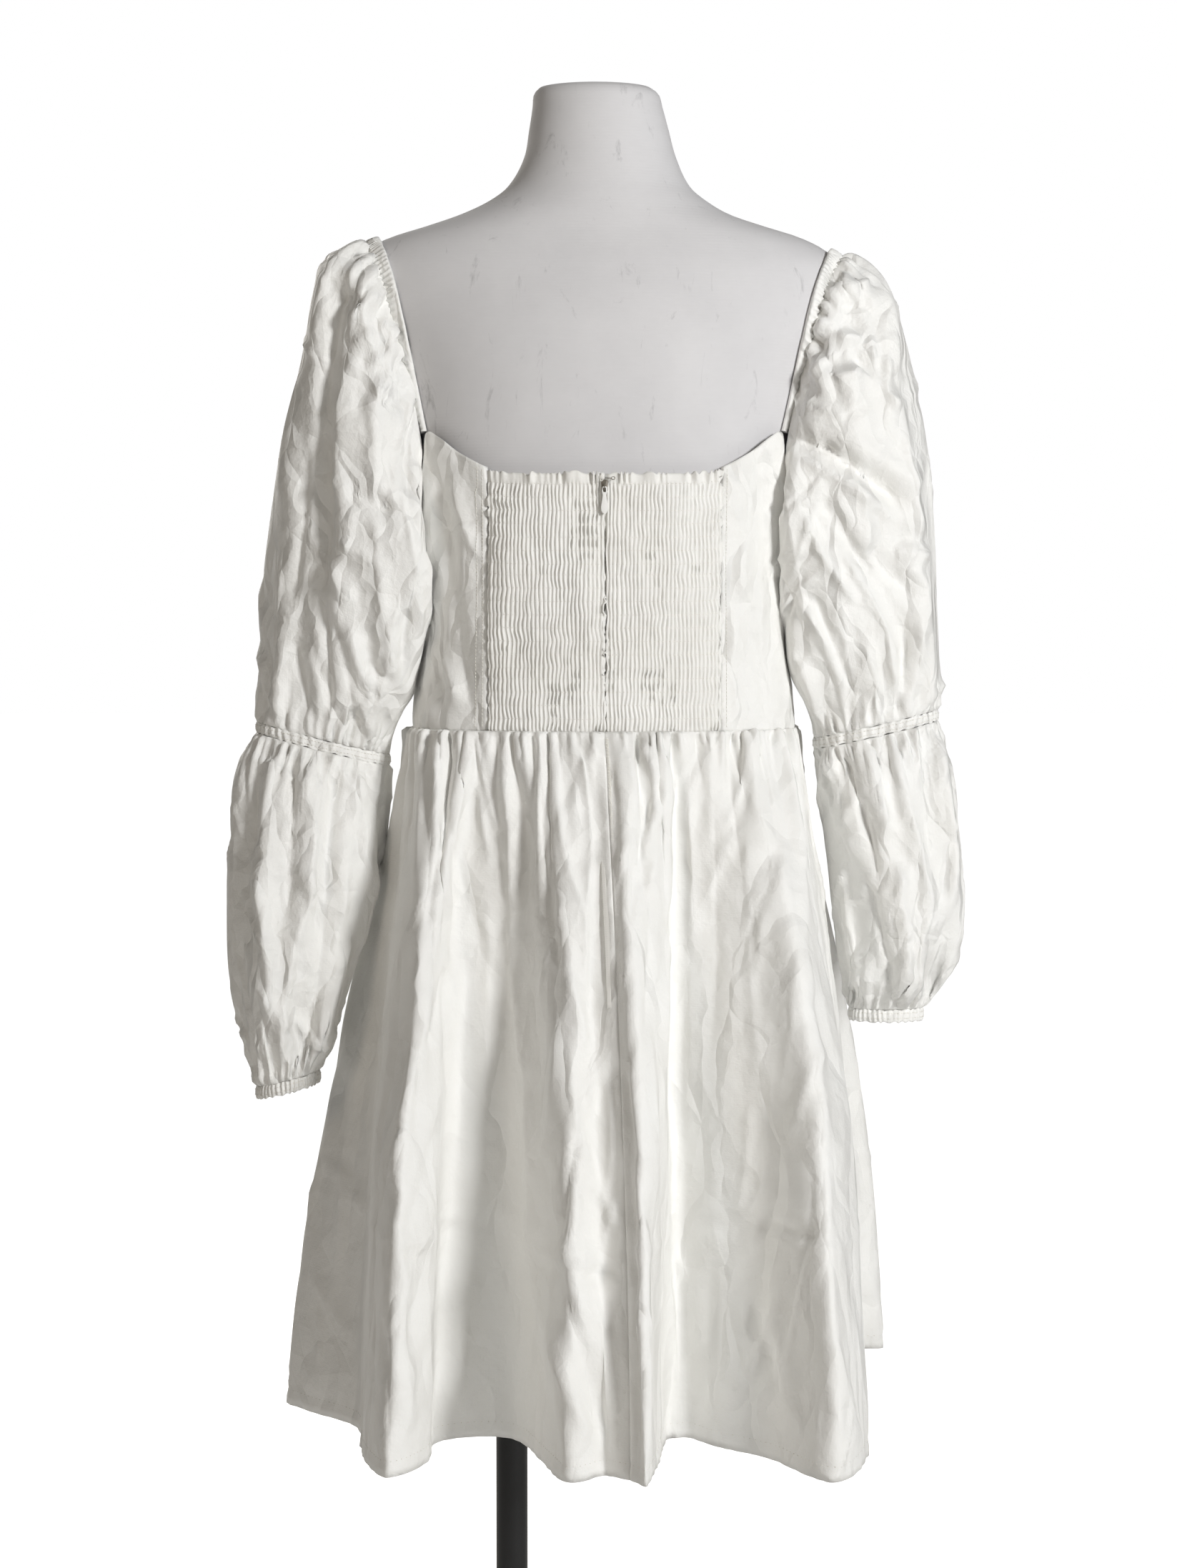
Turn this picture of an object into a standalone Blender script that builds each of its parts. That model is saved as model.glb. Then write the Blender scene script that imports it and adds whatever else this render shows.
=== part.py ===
"""White mini dress with puff sleeves on a limbless dress form, which stands on a pole and a round base.

Metres, +Z up. The origin is the centre of the base's underside. The back of the dress faces -Y, so +X is
the wearer's right. A turn round the body is 0 at the centre back, 90 degrees at +X and 180 at the front.
"""

from collections import namedtuple
import math

import bmesh
import bpy
from mathutils import Vector

# Cloth
CLOTH_WALL = 0.0012
BAND_WALL = 0.0018
SEAM_GAP = 0.0003

# Bodice
WAIST_HEIGHT = 0.996
SMOCK_HALF_WIDTH = 0.089
SIDE_SEAM_TURN = 93.0
ZIP_GAP = 0.0008
RIBS_PER_PANEL = 29
RIB_HEIGHT = 0.0012
HEADER_WAVES = 7
HEADER_WAVE = 0.0014
BODICE_SQUARE = 2.4

# Skirt
HEM_HEIGHT = 0.468
SKIRT_GATHERS = 48
GATHER_DEPTH = 0.0032
GATHER_FADE = 0.22
SKIRT_ROWS = (0.0, 0.04, 0.11, 0.22, 0.38, 0.54, 0.70, 0.85, 1.0)
FLARE_POWER = 1.60
FLARE_TO_RIGHT = 0.9

# Neck casings and sleeves
CASING_HALF_WIDTH = 0.0045
CASING_HALF_THICK = 0.0014
CASING_WAVES = 14
SLEEVE_COLUMNS = 36
SLEEVE_GATHER = 0.0026
BAND_WAVES = 12
BAND_WAVE = 0.0009
BAND_GAP = 0.0007
CASING_CLEARANCE = 0.0013
ELBOW_BAND_HEIGHT = 0.009
CUFF_HEIGHT = 0.010
PUFF_FOLD = 0.0042
CLEAR_OF_BODICE = 130

# Zip
ZIP_TOP = 1.187
TAPE_HALF_WIDTH = 0.008
TAPE_THICK = 0.0010
TAPE_GAP = 0.0012
ZIP_SKIRT_ROWS = 5
CALM_BESIDE_ZIP = 0.014
PULL_PIVOT_HEIGHT = 1.180
PULL_PIVOT_OFF = 0.0011
PULL_THICK = 0.0010
PULL_SLOT = (0.0010, 0.0005, 0.0036)
BAIL_RADIUS = 0.0022
BAIL_WIRE_RADIUS = 0.0004
SLIDER_SIZE = (0.0056, 0.0016, 0.0095)
SLIDER_GAP = 0.0003
SLIDER_ABOVE_PIVOT = 0.0010

# Stand: the pole stands off the base's centre, so that the form stands over the base
POLE_X = -0.073
POLE_RADIUS = 0.0125
POLE_CLEARANCE = 0.0003
SOCKET_DEPTH = 0.060
BASE_RADIUS = 0.170
BASE_THICK = 0.006
COLLAR_RADIUS = 0.023
COLLAR_HEIGHT = 0.034
FORM_SEGMENTS = 28

# Level sections of the dress form; shift moves a section's centre along X
FormSection = namedtuple("FormSection", "height half_width back front square shift")
FORM_SECTIONS = (
    FormSection(0.650, 0.156, 0.094, 0.082, 2.3, 0.0),
    FormSection(0.657, 0.164, 0.102, 0.089, 2.3, 0.0),
    FormSection(0.690, 0.170, 0.108, 0.093, 2.3, 0.0),
    FormSection(0.760, 0.171, 0.109, 0.094, 2.3, 0.0),
    FormSection(0.830, 0.155, 0.099, 0.091, 2.3, 0.0),
    FormSection(0.900, 0.134, 0.087, 0.088, 2.3, 0.0),
    FormSection(0.955, 0.125, 0.080, 0.087, 2.3, 0.0),
    FormSection(1.010, 0.129, 0.084, 0.093, 2.3, 0.0),
    FormSection(1.070, 0.133, 0.090, 0.105, 2.3, 0.0),
    FormSection(1.130, 0.136, 0.093, 0.115, 2.3, 0.0),
    FormSection(1.180, 0.141, 0.093, 0.111, 2.3, 0.0),
    FormSection(1.225, 0.148, 0.091, 0.101, 2.3, 0.0),
    FormSection(1.265, 0.157, 0.089, 0.091, 2.2, 0.0),
    FormSection(1.300, 0.175, 0.087, 0.083, 2.1, 0.0),
    FormSection(1.330, 0.189, 0.083, 0.075, 2.0, -0.002),
    FormSection(1.352, 0.192, 0.077, 0.067, 2.0, -0.005),
    FormSection(1.367, 0.180, 0.071, 0.060, 2.0, -0.007),
    FormSection(1.377, 0.160, 0.067, 0.057, 2.0, -0.007),
    FormSection(1.385, 0.134, 0.065, 0.056, 2.0, -0.007),
    FormSection(1.394, 0.107, 0.063, 0.056, 2.0, -0.007),
    FormSection(1.404, 0.087, 0.060, 0.057, 2.0, -0.005),
    FormSection(1.416, 0.0715, 0.056, 0.058, 2.0, -0.004),
    FormSection(1.438, 0.0596, 0.050, 0.058, 2.0, -0.003),
    FormSection(1.461, 0.0542, 0.046, 0.056, 2.0, -0.004),
    FormSection(1.478, 0.0506, 0.043, 0.053, 2.0, -0.005),
    FormSection(1.488, 0.0485, 0.040, 0.050, 2.0, -0.006),
    FormSection(1.4925, 0.0435, 0.035, 0.045, 2.0, -0.007),
)

# The section where the shoulders start to slope inwards
SHOULDER_FOOT = 15

# Level sections of the bodice's outer face
BodiceSection = namedtuple("BodiceSection", "height half_width back front")
BODICE_SECTIONS = (
    BodiceSection(0.980, 0.1515, 0.1050, 0.112),
    BodiceSection(1.025, 0.1480, 0.1045, 0.119),
    BodiceSection(1.070, 0.1430, 0.1035, 0.128),
    BodiceSection(1.115, 0.1420, 0.1030, 0.133),
    BodiceSection(1.165, 0.1450, 0.1020, 0.127),
    BodiceSection(1.230, 0.1540, 0.0990, 0.112),
)

# Upper edge of the bodice, round half of the body
EdgePoint = namedtuple("EdgePoint", "turn height")
BODICE_EDGE = (
    EdgePoint(0, 1.1905),
    EdgePoint(30, 1.1930),
    EdgePoint(45, 1.2065),
    EdgePoint(56, 1.2205),
    EdgePoint(63, 1.2220),
    EdgePoint(68, 1.195),
    EdgePoint(78, 1.135),
    EdgePoint(92, 1.112),
    EdgePoint(106, 1.135),
    EdgePoint(117, 1.188),
    EdgePoint(122, 1.205),
    EdgePoint(130, 1.204),
    EdgePoint(150, 1.186),
    EdgePoint(180, 1.180),
)

# Folds of the skirt, anticlockwise from above: where each lies on the hem, and its turn at the waist
SkirtFold = namedtuple("SkirtFold", "name hem_x hem_y waist_turn")
SKIRT_FOLDS = (
    SkirtFold("left side seam", -0.2456, -0.023, -90),
    SkirtFold("left side, back of the crest", -0.2330, -0.058, -84),
    SkirtFold("left recess", -0.1960, -0.100, -77.5),
    SkirtFold("left recess, deep end", -0.1850, -0.130, -73),
    SkirtFold("left back crest, outer side", -0.1782, -0.202, -64),
    SkirtFold("left back crest", -0.1569, -0.256, -53.5),
    SkirtFold("left back crest, inner side", -0.1285, -0.211, -45.5),
    SkirtFold("left valley, start", -0.1230, -0.158, -38.5),
    SkirtFold("left valley, end", -0.0837, -0.142, -28.5),
    SkirtFold("middle crest, foot", -0.0586, -0.164, -22),
    SkirtFold("middle crest", -0.0290, -0.262, -10),
    SkirtFold("middle trough", -0.0010, -0.247, -4),
    SkirtFold("centre-back seam", 0.0170, -0.262, 0),
    SkirtFold("pointed crest", 0.0300, -0.278, 4),
    SkirtFold("pointed crest, inner side", 0.0400, -0.215, 11),
    SkirtFold("right valley, start", 0.0520, -0.145, 19.5),
    SkirtFold("right valley", 0.0865, -0.176, 28.5),
    SkirtFold("right valley, end", 0.1217, -0.208, 38),
    SkirtFold("right back crest", 0.1637, -0.266, 52.5),
    SkirtFold("right back crest, outer side", 0.1940, -0.196, 65),
    SkirtFold("right recess", 0.1900, -0.125, 75.5),
    SkirtFold("right side crest", 0.2020, -0.055, 86),
    SkirtFold("right side recess", 0.1880, 0.030, 97.5),
    SkirtFold("right front crest, foot", 0.2120, 0.128, 109),
    SkirtFold("right front crest", 0.2356, 0.1475, 114),
    SkirtFold("right front crest, front side", 0.2150, 0.187, 120),
    SkirtFold("front recess 1", 0.1650, 0.165, 128.5),
    SkirtFold("front crest 1", 0.1500, 0.232, 138),
    SkirtFold("front crest 1, far side", 0.1180, 0.240, 144),
    SkirtFold("front recess 2", 0.0950, 0.185, 152.5),
    SkirtFold("front crest 2", 0.0620, 0.260, 163),
    SkirtFold("front crest 2, far side", 0.0300, 0.256, 169),
    SkirtFold("front recess 3", 0.0080, 0.195, 178),
    SkirtFold("front crest 3", -0.0250, 0.254, 188),
    SkirtFold("front crest 3, far side", -0.0550, 0.258, 194.5),
    SkirtFold("front recess 4", -0.0850, 0.195, 204.5),
    SkirtFold("front crest 4", -0.1200, 0.245, 213.5),
    SkirtFold("front crest 4, far side", -0.1500, 0.228, 220),
    SkirtFold("front recess 5", -0.1600, 0.165, 229.5),
    SkirtFold("left front crest", -0.2150, 0.165, 238.5),
    SkirtFold("left front crest, side", -0.2350, 0.115, 246.5),
    SkirtFold("left side recess", -0.1900, 0.060, 257),
)
CENTRE_BACK_FOLD = 12
RIGHT_SIDE_FOLD = 21
SAMPLES_PER_FOLD = 8

# Route of a neck casing over one shoulder: distance from the centre, and rise from the bodice's back
# corner, at 0, to the top of the shoulder, at 1
CasingPoint = namedtuple("CasingPoint", "out rise front")
CASING_ROUTE = (
    CasingPoint(0.1375, 0.000, False),
    CasingPoint(0.1450, 0.243, False),
    CasingPoint(0.1540, 0.517, False),
    CasingPoint(0.1625, 0.750, False),
    CasingPoint(0.1700, 0.895, False),
    CasingPoint(0.1755, 0.972, False),
    CasingPoint(0.1785, 1.000, False),
    CasingPoint(0.1755, 0.972, True),
    CasingPoint(0.1690, 0.880, True),
    CasingPoint(0.1570, 0.670, True),
    CasingPoint(0.1460, 0.380, True),
    CasingPoint(0.1380, 0.106, True),
    CasingPoint(0.1330, -0.113, True),
)
CASING_START_HEIGHT = 1.2245

# Where each line of a sleeve starts, which way it leaves, and its turn on the elbow ring.
# on is "bodice", with place a turn round the body, or "casing", with place a share of its length.
SleeveStart = namedtuple("SleeveStart", "on place out back up elbow_turn")
SLEEVE_STARTS = (
    SleeveStart("bodice", 92, 0.020, 0.000, -0.10, 180),
    SleeveStart("bodice", 77, 0.015, 0.060, -0.12, 150),
    SleeveStart("bodice", 65, 0.008, 0.100, -0.12, 126),
    SleeveStart("casing", 0.08, 0.020, 0.120, -0.08, 104),
    SleeveStart("casing", 0.24, 0.070, 0.130, -0.04, 80),
    SleeveStart("casing", 0.38, 0.130, 0.100, -0.02, 45),
    SleeveStart("casing", 0.50, 0.170, 0.000, -0.02, 0),
    SleeveStart("casing", 0.62, 0.130, -0.100, -0.02, -45),
    SleeveStart("casing", 0.76, 0.080, -0.120, -0.04, -80),
    SleeveStart("casing", 0.92, 0.050, -0.110, -0.06, -104),
    SleeveStart("bodice", 120, 0.040, -0.090, -0.08, -126),
    SleeveStart("bodice", 107, 0.030, -0.060, -0.10, -150),
)

# Level rings of the lower sleeves, elbow to cuff; tilt lifts the outer side
SleeveRing = namedtuple("SleeveRing", "height out back half_width half_depth tilt")
LEFT_SLEEVE = (
    SleeveRing(0.984, 0.2197, 0.012, 0.0520, 0.034, 0.25),
    SleeveRing(0.955, 0.2260, 0.016, 0.0565, 0.043, 0.18),
    SleeveRing(0.905, 0.2310, 0.028, 0.0550, 0.045, 0.08),
    SleeveRing(0.850, 0.2385, 0.040, 0.0515, 0.044, 0.00),
    SleeveRing(0.800, 0.2425, 0.048, 0.0455, 0.040, -0.05),
    SleeveRing(0.757, 0.2432, 0.052, 0.0360, 0.034, -0.12),
    SleeveRing(0.722, 0.2445, 0.054, 0.0245, 0.024, -0.25),
)
RIGHT_SLEEVE = (
    SleeveRing(0.995, 0.2130, 0.010, 0.0485, 0.034, 0.23),
    SleeveRing(0.965, 0.2195, 0.014, 0.0495, 0.043, 0.15),
    SleeveRing(0.925, 0.2240, 0.018, 0.0500, 0.046, 0.08),
    SleeveRing(0.875, 0.2300, 0.020, 0.0485, 0.046, 0.02),
    SleeveRing(0.825, 0.2310, 0.020, 0.0430, 0.042, 0.00),
    SleeveRing(0.793, 0.2265, 0.018, 0.0355, 0.034, 0.00),
    SleeveRing(0.772, 0.2215, 0.016, 0.0290, 0.020, 0.00),
)

# Fullness of the upper sleeves past a plain sweep, by the share of the way down: outside, at the back,
# and inwards behind the bodice's side
PuffRow = namedtuple("PuffRow", "down outside behind inward")
LEFT_PUFF = (
    PuffRow(0.00, 0.000, 0.000, 0.000),
    PuffRow(0.12, 0.016, 0.002, 0.002),
    PuffRow(0.22, 0.009, 0.006, 0.005),
    PuffRow(0.35, 0.003, 0.012, 0.012),
    PuffRow(0.50, 0.003, 0.018, 0.022),
    PuffRow(0.80, 0.002, 0.015, 0.024),
    PuffRow(1.00, 0.000, 0.000, 0.000),
)
RIGHT_PUFF = (
    PuffRow(0.00, 0.000, 0.000, 0.000),
    PuffRow(0.10, 0.005, 0.002, 0.002),
    PuffRow(0.22, 0.009, 0.005, 0.006),
    PuffRow(0.35, 0.012, 0.009, 0.014),
    PuffRow(0.55, 0.014, 0.013, 0.022),
    PuffRow(0.80, 0.008, 0.011, 0.024),
    PuffRow(1.00, 0.000, 0.000, 0.000),
)

# Half of the pull tab's outline, from the bar downwards
PullWidth = namedtuple("PullWidth", "down half_width")
PULL_OUTLINE = (
    PullWidth(-0.0006, 0.0012),
    PullWidth(0.0000, 0.0020),
    PullWidth(0.0020, 0.0022),
    PullWidth(0.0042, 0.0018),
    PullWidth(0.0060, 0.0013),
    PullWidth(0.0090, 0.0017),
    PullWidth(0.0125, 0.0024),
    PullWidth(0.0155, 0.0027),
    PullWidth(0.0180, 0.0023),
    PullWidth(0.0195, 0.0012),
    PullWidth(0.0200, 0.0000),
)

Finish = namedtuple("Finish", "name colour roughness metallic")
WHITE_COTTON = Finish("white cotton", (0.90, 0.89, 0.87), 0.75, 0.0)
SMOCKED_COTTON = Finish("shirred cotton", (0.86, 0.85, 0.83), 0.80, 0.0)
GREY_JERSEY = Finish("pale grey jersey", (0.66, 0.66, 0.66), 0.85, 0.0)
BLACK_ENAMEL = Finish("black enamel", (0.012, 0.012, 0.012), 0.35, 0.0)
WHITE_ENAMEL = Finish("white enamelled zip metal", (0.80, 0.80, 0.78), 0.40, 0.0)
ZIP_TAPE_CLOTH = Finish("white zip tape", (0.82, 0.82, 0.80), 0.70, 0.0)


def clear_scene():
    """Removes every object that the startup file brought."""
    for obj in list(bpy.data.objects):
        bpy.data.objects.remove(obj, do_unlink=True)


def new_collection(name):
    collection = bpy.data.collections.new(name)
    bpy.context.scene.collection.children.link(collection)
    return collection


def material_of(finish):
    """The Principled material of a finish, made once."""
    material = bpy.data.materials.get(finish.name)
    if material is None:
        material = bpy.data.materials.new(finish.name)
        material.use_nodes = True
        shader = material.node_tree.nodes["Principled BSDF"]
        shader.inputs["Base Color"].default_value = (*finish.colour, 1.0)
        shader.inputs["Roughness"].default_value = finish.roughness
        shader.inputs["Metallic"].default_value = finish.metallic
    return material


def add_object(name, data, finish, collection):
    obj = bpy.data.objects.new(name, data)
    obj.data.materials.append(material_of(finish))
    collection.objects.link(obj)
    return obj


def mesh_object(name, shape, finish, collection, smooth_below=40.0):
    """Turns a bmesh into a named object, smooth except at edges sharper than smooth_below degrees."""
    mesh = bpy.data.meshes.new(name)
    shape.to_mesh(mesh)
    shape.free()
    mesh.shade_smooth()
    mesh.set_sharp_from_angle(angle=math.radians(smooth_below))
    return add_object(name, mesh, finish, collection)


def mix(start, end, share):
    return start + (end - start) * share


def smooth_step(share):
    share = min(max(share, 0.0), 1.0)
    return share * share * (3.0 - 2.0 * share)


def column(rows, key, value, along):
    """Reads one named column of a table at a value of another, on a smooth curve through its rows."""
    places = [getattr(row, along) for row in rows]
    heights = [getattr(row, key) for row in rows]
    value = min(max(value, places[0]), places[-1])
    at = max(i for i in range(len(places) - 1) if places[i] <= value)
    span = places[at + 1] - places[at]
    share = (value - places[at]) / span

    def slope(i):
        low, high = max(i - 1, 0), min(i + 1, len(rows) - 1)
        return (heights[high] - heights[low]) / (places[high] - places[low]) * span

    square, cube = share**2, share**3
    return (
        (2 * cube - 3 * square + 1) * heights[at]
        + (cube - 2 * square + share) * slope(at)
        + (3 * square - 2 * cube) * heights[at + 1]
        + (cube - square) * slope(at + 1)
    )


def through(points, place, closed=False):
    """A point of the smooth curve through a list of vectors, where whole places are the listed ones."""
    count = len(points)
    at = math.floor(place)
    share = place - at

    def pick(i):
        return points[i % count] if closed else points[min(max(i, 0), count - 1)]

    before, start, end, after = (pick(at + i) for i in (-1, 0, 1, 2))
    return 0.5 * (
        2 * start
        + (end - before) * share
        + (2 * before - 5 * start + 4 * end - after) * share**2
        + (3 * start - before - 3 * end + after) * share**3
    )


def signed_power(value, power):
    return math.copysign(abs(value) ** power, value)


def oval_point(half_width, back, front, square, turn):
    """A point of a section that is an oval, or squarer where square is over 2."""
    across, along = math.sin(turn), math.cos(turn)
    depth = back if along > 0 else front
    return half_width * signed_power(across, 2 / square), -depth * signed_power(along, 2 / square)


def form_level(point):
    """Under 1 inside the form's side at this point, 1 on it and over 1 outside."""
    half_width, back, front, square, shift = (
        column(FORM_SECTIONS, key, point.z, "height") for key in FormSection._fields[1:]
    )
    depth = front if point.y > 0 else back
    across = abs(point.x - shift) / half_width
    return (across**square + (abs(point.y) / depth) ** square) ** (1 / square)


def form_normal(point, step=0.0005):
    """The direction straight out of the form's side."""
    slopes = []
    for axis in (Vector((step, 0, 0)), Vector((0, step, 0)), Vector((0, 0, step))):
        slopes.append(form_level(point + axis) - form_level(point - axis))
    return Vector(slopes).normalized()


def form_side_point(x, height, front):
    """The point of the form's back or front face at this x and height."""
    half_width, back, front_depth, square, shift = (
        column(FORM_SECTIONS, key, height, "height") for key in FormSection._fields[1:]
    )
    inside = max(1 - (abs(x - shift) / half_width) ** square, 0.0) ** (1 / square)
    return Vector((x, front_depth * inside if front else -back * inside, height))


def ridge_height(x):
    """The height of the shoulder's ridge, where the form is no wider than this x."""
    low, high = FORM_SECTIONS[SHOULDER_FOOT].height, FORM_SECTIONS[-1].height
    for _ in range(30):
        middle = (low + high) / 2
        half_width, shift = (column(FORM_SECTIONS, key, middle, "height") for key in ("half_width", "shift"))
        if abs(x - shift) < half_width:
            low = middle
        else:
            high = middle
    return low


def bodice_point(turn, height):
    """A point of the bodice's outer face; turn is in degrees."""
    half_width, back, front = (
        column(BODICE_SECTIONS, key, height, "height") for key in BodiceSection._fields[1:]
    )
    x, y = oval_point(half_width, back, front, BODICE_SQUARE, math.radians(turn))
    return Vector((x, y, height))


def bodice_turn(x, height):
    """The turn in degrees at which the bodice's back lies at this x."""
    half_width = column(BODICE_SECTIONS, "half_width", height, "height")
    return math.degrees(math.asin(signed_power(x / half_width, BODICE_SQUARE / 2)))


def bodice_edge(turn):
    """The height of the bodice's upper edge at a turn in degrees."""
    turn = abs((turn + 180) % 360 - 180)
    return column(BODICE_EDGE, "height", turn, "turn")


def outward(surface, across, down, step=1e-4):
    """The outward normal of a surface whose across runs towards +X at the back and whose down falls."""
    over = surface(across + step, down) - surface(across - step, down)
    fall = surface(across, min(down + step, 1.0)) - surface(across, max(down - step, 0.0))
    return fall.cross(over).normalized()


def ways_out(points, closed, longest=1.5):
    """For each point of a grid, the way out of the faces round it.

    It is longer than 1 at a fold, so that a wall offset along it keeps its thickness from each of them.
    """
    count = len(points[0])
    faces = []
    for upper, lower in zip(points, points[1:]):
        line = []
        for i in range(count if closed else count - 1):
            j = (i + 1) % count
            line.append((lower[j] - upper[i]).cross(upper[j] - lower[i]).normalized())
        faces.append(line)
    ways = []
    for row in range(len(points)):
        near_rows = [faces[k] for k in (row - 1, row) if 0 <= k < len(faces)]
        line = []
        for i in range(count):
            near = [f[k % count] for f in near_rows for k in (i - 1, i) if closed or 0 <= k < count - 1]
            way = sum(near, Vector()).normalized()
            line.append(way * min(1 / max(min(way.dot(n) for n in near), 0.1), longest))
        ways.append(line)
    return ways


def cloth_wall(surface, columns, rows, closed=False, thick=CLOTH_WALL, plain=None, sunk=0.0):
    """A cloth wall between a surface and its inner face, which ends square to the surface at each edge.

    Both faces are split into triangles along the same diagonals, so that twisted places keep their thickness.
    rows are the shares of the way down. plain is the smooth surface behind raised relief: the inner face
    follows it with half the columns and only the first, middle and last rows. sunk moves both faces in.
    """
    shape = bmesh.new()
    count = columns if closed else columns + 1
    coarse = 2 if plain else 1
    inner_rows = [rows[0], rows[len(rows) // 2], rows[-1]] if plain else rows
    back = plain or surface

    points = [[surface(i / columns, down) for i in range(count)] for down in rows]
    if sunk:
        for down, line in zip(rows, points):
            line[:] = [point - outward(surface, i / columns, down) * sunk for i, point in enumerate(line)]
    outer = [[shape.verts.new(point) for point in line] for line in points]
    ways = ways_out(points, closed)
    inner = []
    for row, down in enumerate(inner_rows):
        line = {}
        for i in range(0, count, coarse):
            at_seam = not closed and i in (0, columns)
            if plain or at_seam:
                way = outward(back, i / columns, down)
            else:
                way = ways[row][i]
            start = back(i / columns, down) - way * sunk if plain else points[row][i]
            line[i] = shape.verts.new(start - way * thick)
        inner.append(line)

    for row in range(len(rows) - 1):
        for i in range(columns):
            j = (i + 1) % count
            corners = [(row, i), (row + 1, i), (row + 1, j), (row, j)]
            places = [points[r][k] for r, k in corners]
            if (places[1] - places[3]).length < (places[0] - places[2]).length:
                corners = corners[1:] + corners[:1]
            for half in (corners[:3], corners[2:] + corners[:1]):
                shape.faces.new([outer[r][k] for r, k in half])
                if not plain:
                    shape.faces.new([inner[r][k] for r, k in reversed(half)])
    if plain:
        for upper, lower in zip(inner, inner[1:]):
            for i in range(0, columns, coarse):
                j = (i + coarse) % count
                shape.faces.new((upper[j], lower[j], lower[i], upper[i]))
    for i in range(0, columns, coarse):
        j = (i + coarse) % count
        over = [(i + k) % count for k in range(coarse + 1)]
        shape.faces.new([inner[0][j], inner[0][i]] + [outer[0][k] for k in over])
        shape.faces.new([inner[-1][i], inner[-1][j]] + [outer[-1][k] for k in reversed(over)])
    if not closed:
        for start, end in zip(range(len(inner) - 1), range(1, len(inner))):
            first, last = rows.index(inner_rows[start]), rows.index(inner_rows[end])
            span = range(first, last + 1)
            left = [outer[k][0] for k in reversed(span)] + [inner[start][0], inner[end][0]]
            right = [outer[k][columns] for k in span] + [inner[end][columns], inner[start][columns]]
            shape.faces.new(left)
            shape.faces.new(right)
    return shape


def even_rows(count):
    return [i / count for i in range(count + 1)]


def build_form(parts, cutters):
    """The torso with its neck: a loft of level sections, with a blind socket for the pole underneath."""
    shape = bmesh.new()
    rings = []
    for row in FORM_SECTIONS:
        ring = []
        for i in range(FORM_SEGMENTS):
            turn = 2 * math.pi * i / FORM_SEGMENTS
            x, y = oval_point(row.half_width, row.back, row.front, row.square, turn)
            ring.append(shape.verts.new((x + row.shift, y, row.height)))
        rings.append(ring)
    for lower, upper in zip(rings, rings[1:]):
        for i in range(FORM_SEGMENTS):
            j = (i + 1) % FORM_SEGMENTS
            shape.faces.new((lower[i], lower[j], upper[j], upper[i]))
    shape.faces.new(list(reversed(rings[0])))
    shape.faces.new(rings[-1])
    form = mesh_object("dress_form", shape, GREY_JERSEY, parts)

    socket = bmesh.new()
    top = FORM_SECTIONS[0].height + SOCKET_DEPTH
    bottom = FORM_SECTIONS[0].height - SOCKET_DEPTH
    made = bmesh.ops.create_cone(
        socket,
        cap_ends=True,
        segments=24,
        radius1=POLE_RADIUS + POLE_CLEARANCE,
        radius2=POLE_RADIUS + POLE_CLEARANCE,
        depth=top - bottom,
    )
    bmesh.ops.translate(socket, vec=(POLE_X, 0, (top + bottom) / 2), verts=made["verts"])
    cutter = mesh_object("pole_socket", socket, BLACK_ENAMEL, cutters)
    cutter.hide_render = True
    cutter.display_type = "WIRE"
    cut = form.modifiers.new("pole socket", "BOOLEAN")
    cut.operation = "DIFFERENCE"
    cut.object = cutter


def turned(name, profile, segments, finish, collection, x=0.0):
    """A turned piece: a profile of (radius, height) points that runs down its outer side."""
    shape = bmesh.new()
    points = [shape.verts.new((radius, 0, height)) for radius, height in profile]
    for start, end in zip(points, points[1:]):
        shape.edges.new((start, end))
    if profile[0][0] > 0:
        shape.edges.new((points[-1], points[0]))
    obj = mesh_object(name, shape, finish, collection)
    obj.location.x = x
    screw = obj.modifiers.new("turned", "SCREW")
    screw.steps = segments
    screw.render_steps = segments
    screw.use_merge_vertices = True
    screw.merge_threshold = 0.0001
    return obj


def build_stand(parts):
    """A round steel base, a collar that holds the pole, and the pole up into the form."""
    edge = 0.002
    turned(
        "stand_base",
        (
            (0.0, BASE_THICK),
            (BASE_RADIUS - edge, BASE_THICK),
            (BASE_RADIUS, BASE_THICK - edge),
            (BASE_RADIUS, 0.0),
            (0.0, 0.0),
        ),
        48,
        BLACK_ENAMEL,
        parts,
    )
    bore = POLE_RADIUS + POLE_CLEARANCE
    foot = BASE_THICK + SEAM_GAP
    turned(
        "stand_collar",
        (
            (bore, foot + COLLAR_HEIGHT),
            (COLLAR_RADIUS - edge, foot + COLLAR_HEIGHT),
            (COLLAR_RADIUS, foot + COLLAR_HEIGHT - edge),
            (COLLAR_RADIUS, foot + 0.006),
            (COLLAR_RADIUS + 0.009, foot + 0.004),
            (COLLAR_RADIUS + 0.009, foot),
            (bore, foot),
        ),
        24,
        BLACK_ENAMEL,
        parts,
        POLE_X,
    )
    top = FORM_SECTIONS[0].height + SOCKET_DEPTH - POLE_CLEARANCE
    shape = bmesh.new()
    made = bmesh.ops.create_cone(
        shape,
        cap_ends=True,
        segments=24,
        radius1=POLE_RADIUS,
        radius2=POLE_RADIUS,
        depth=top - foot,
    )
    bmesh.ops.translate(shape, vec=(0, 0, (top + foot) / 2), verts=made["verts"])
    pole = mesh_object("stand_pole", shape, BLACK_ENAMEL, parts)
    pole.location.x = POLE_X


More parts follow.
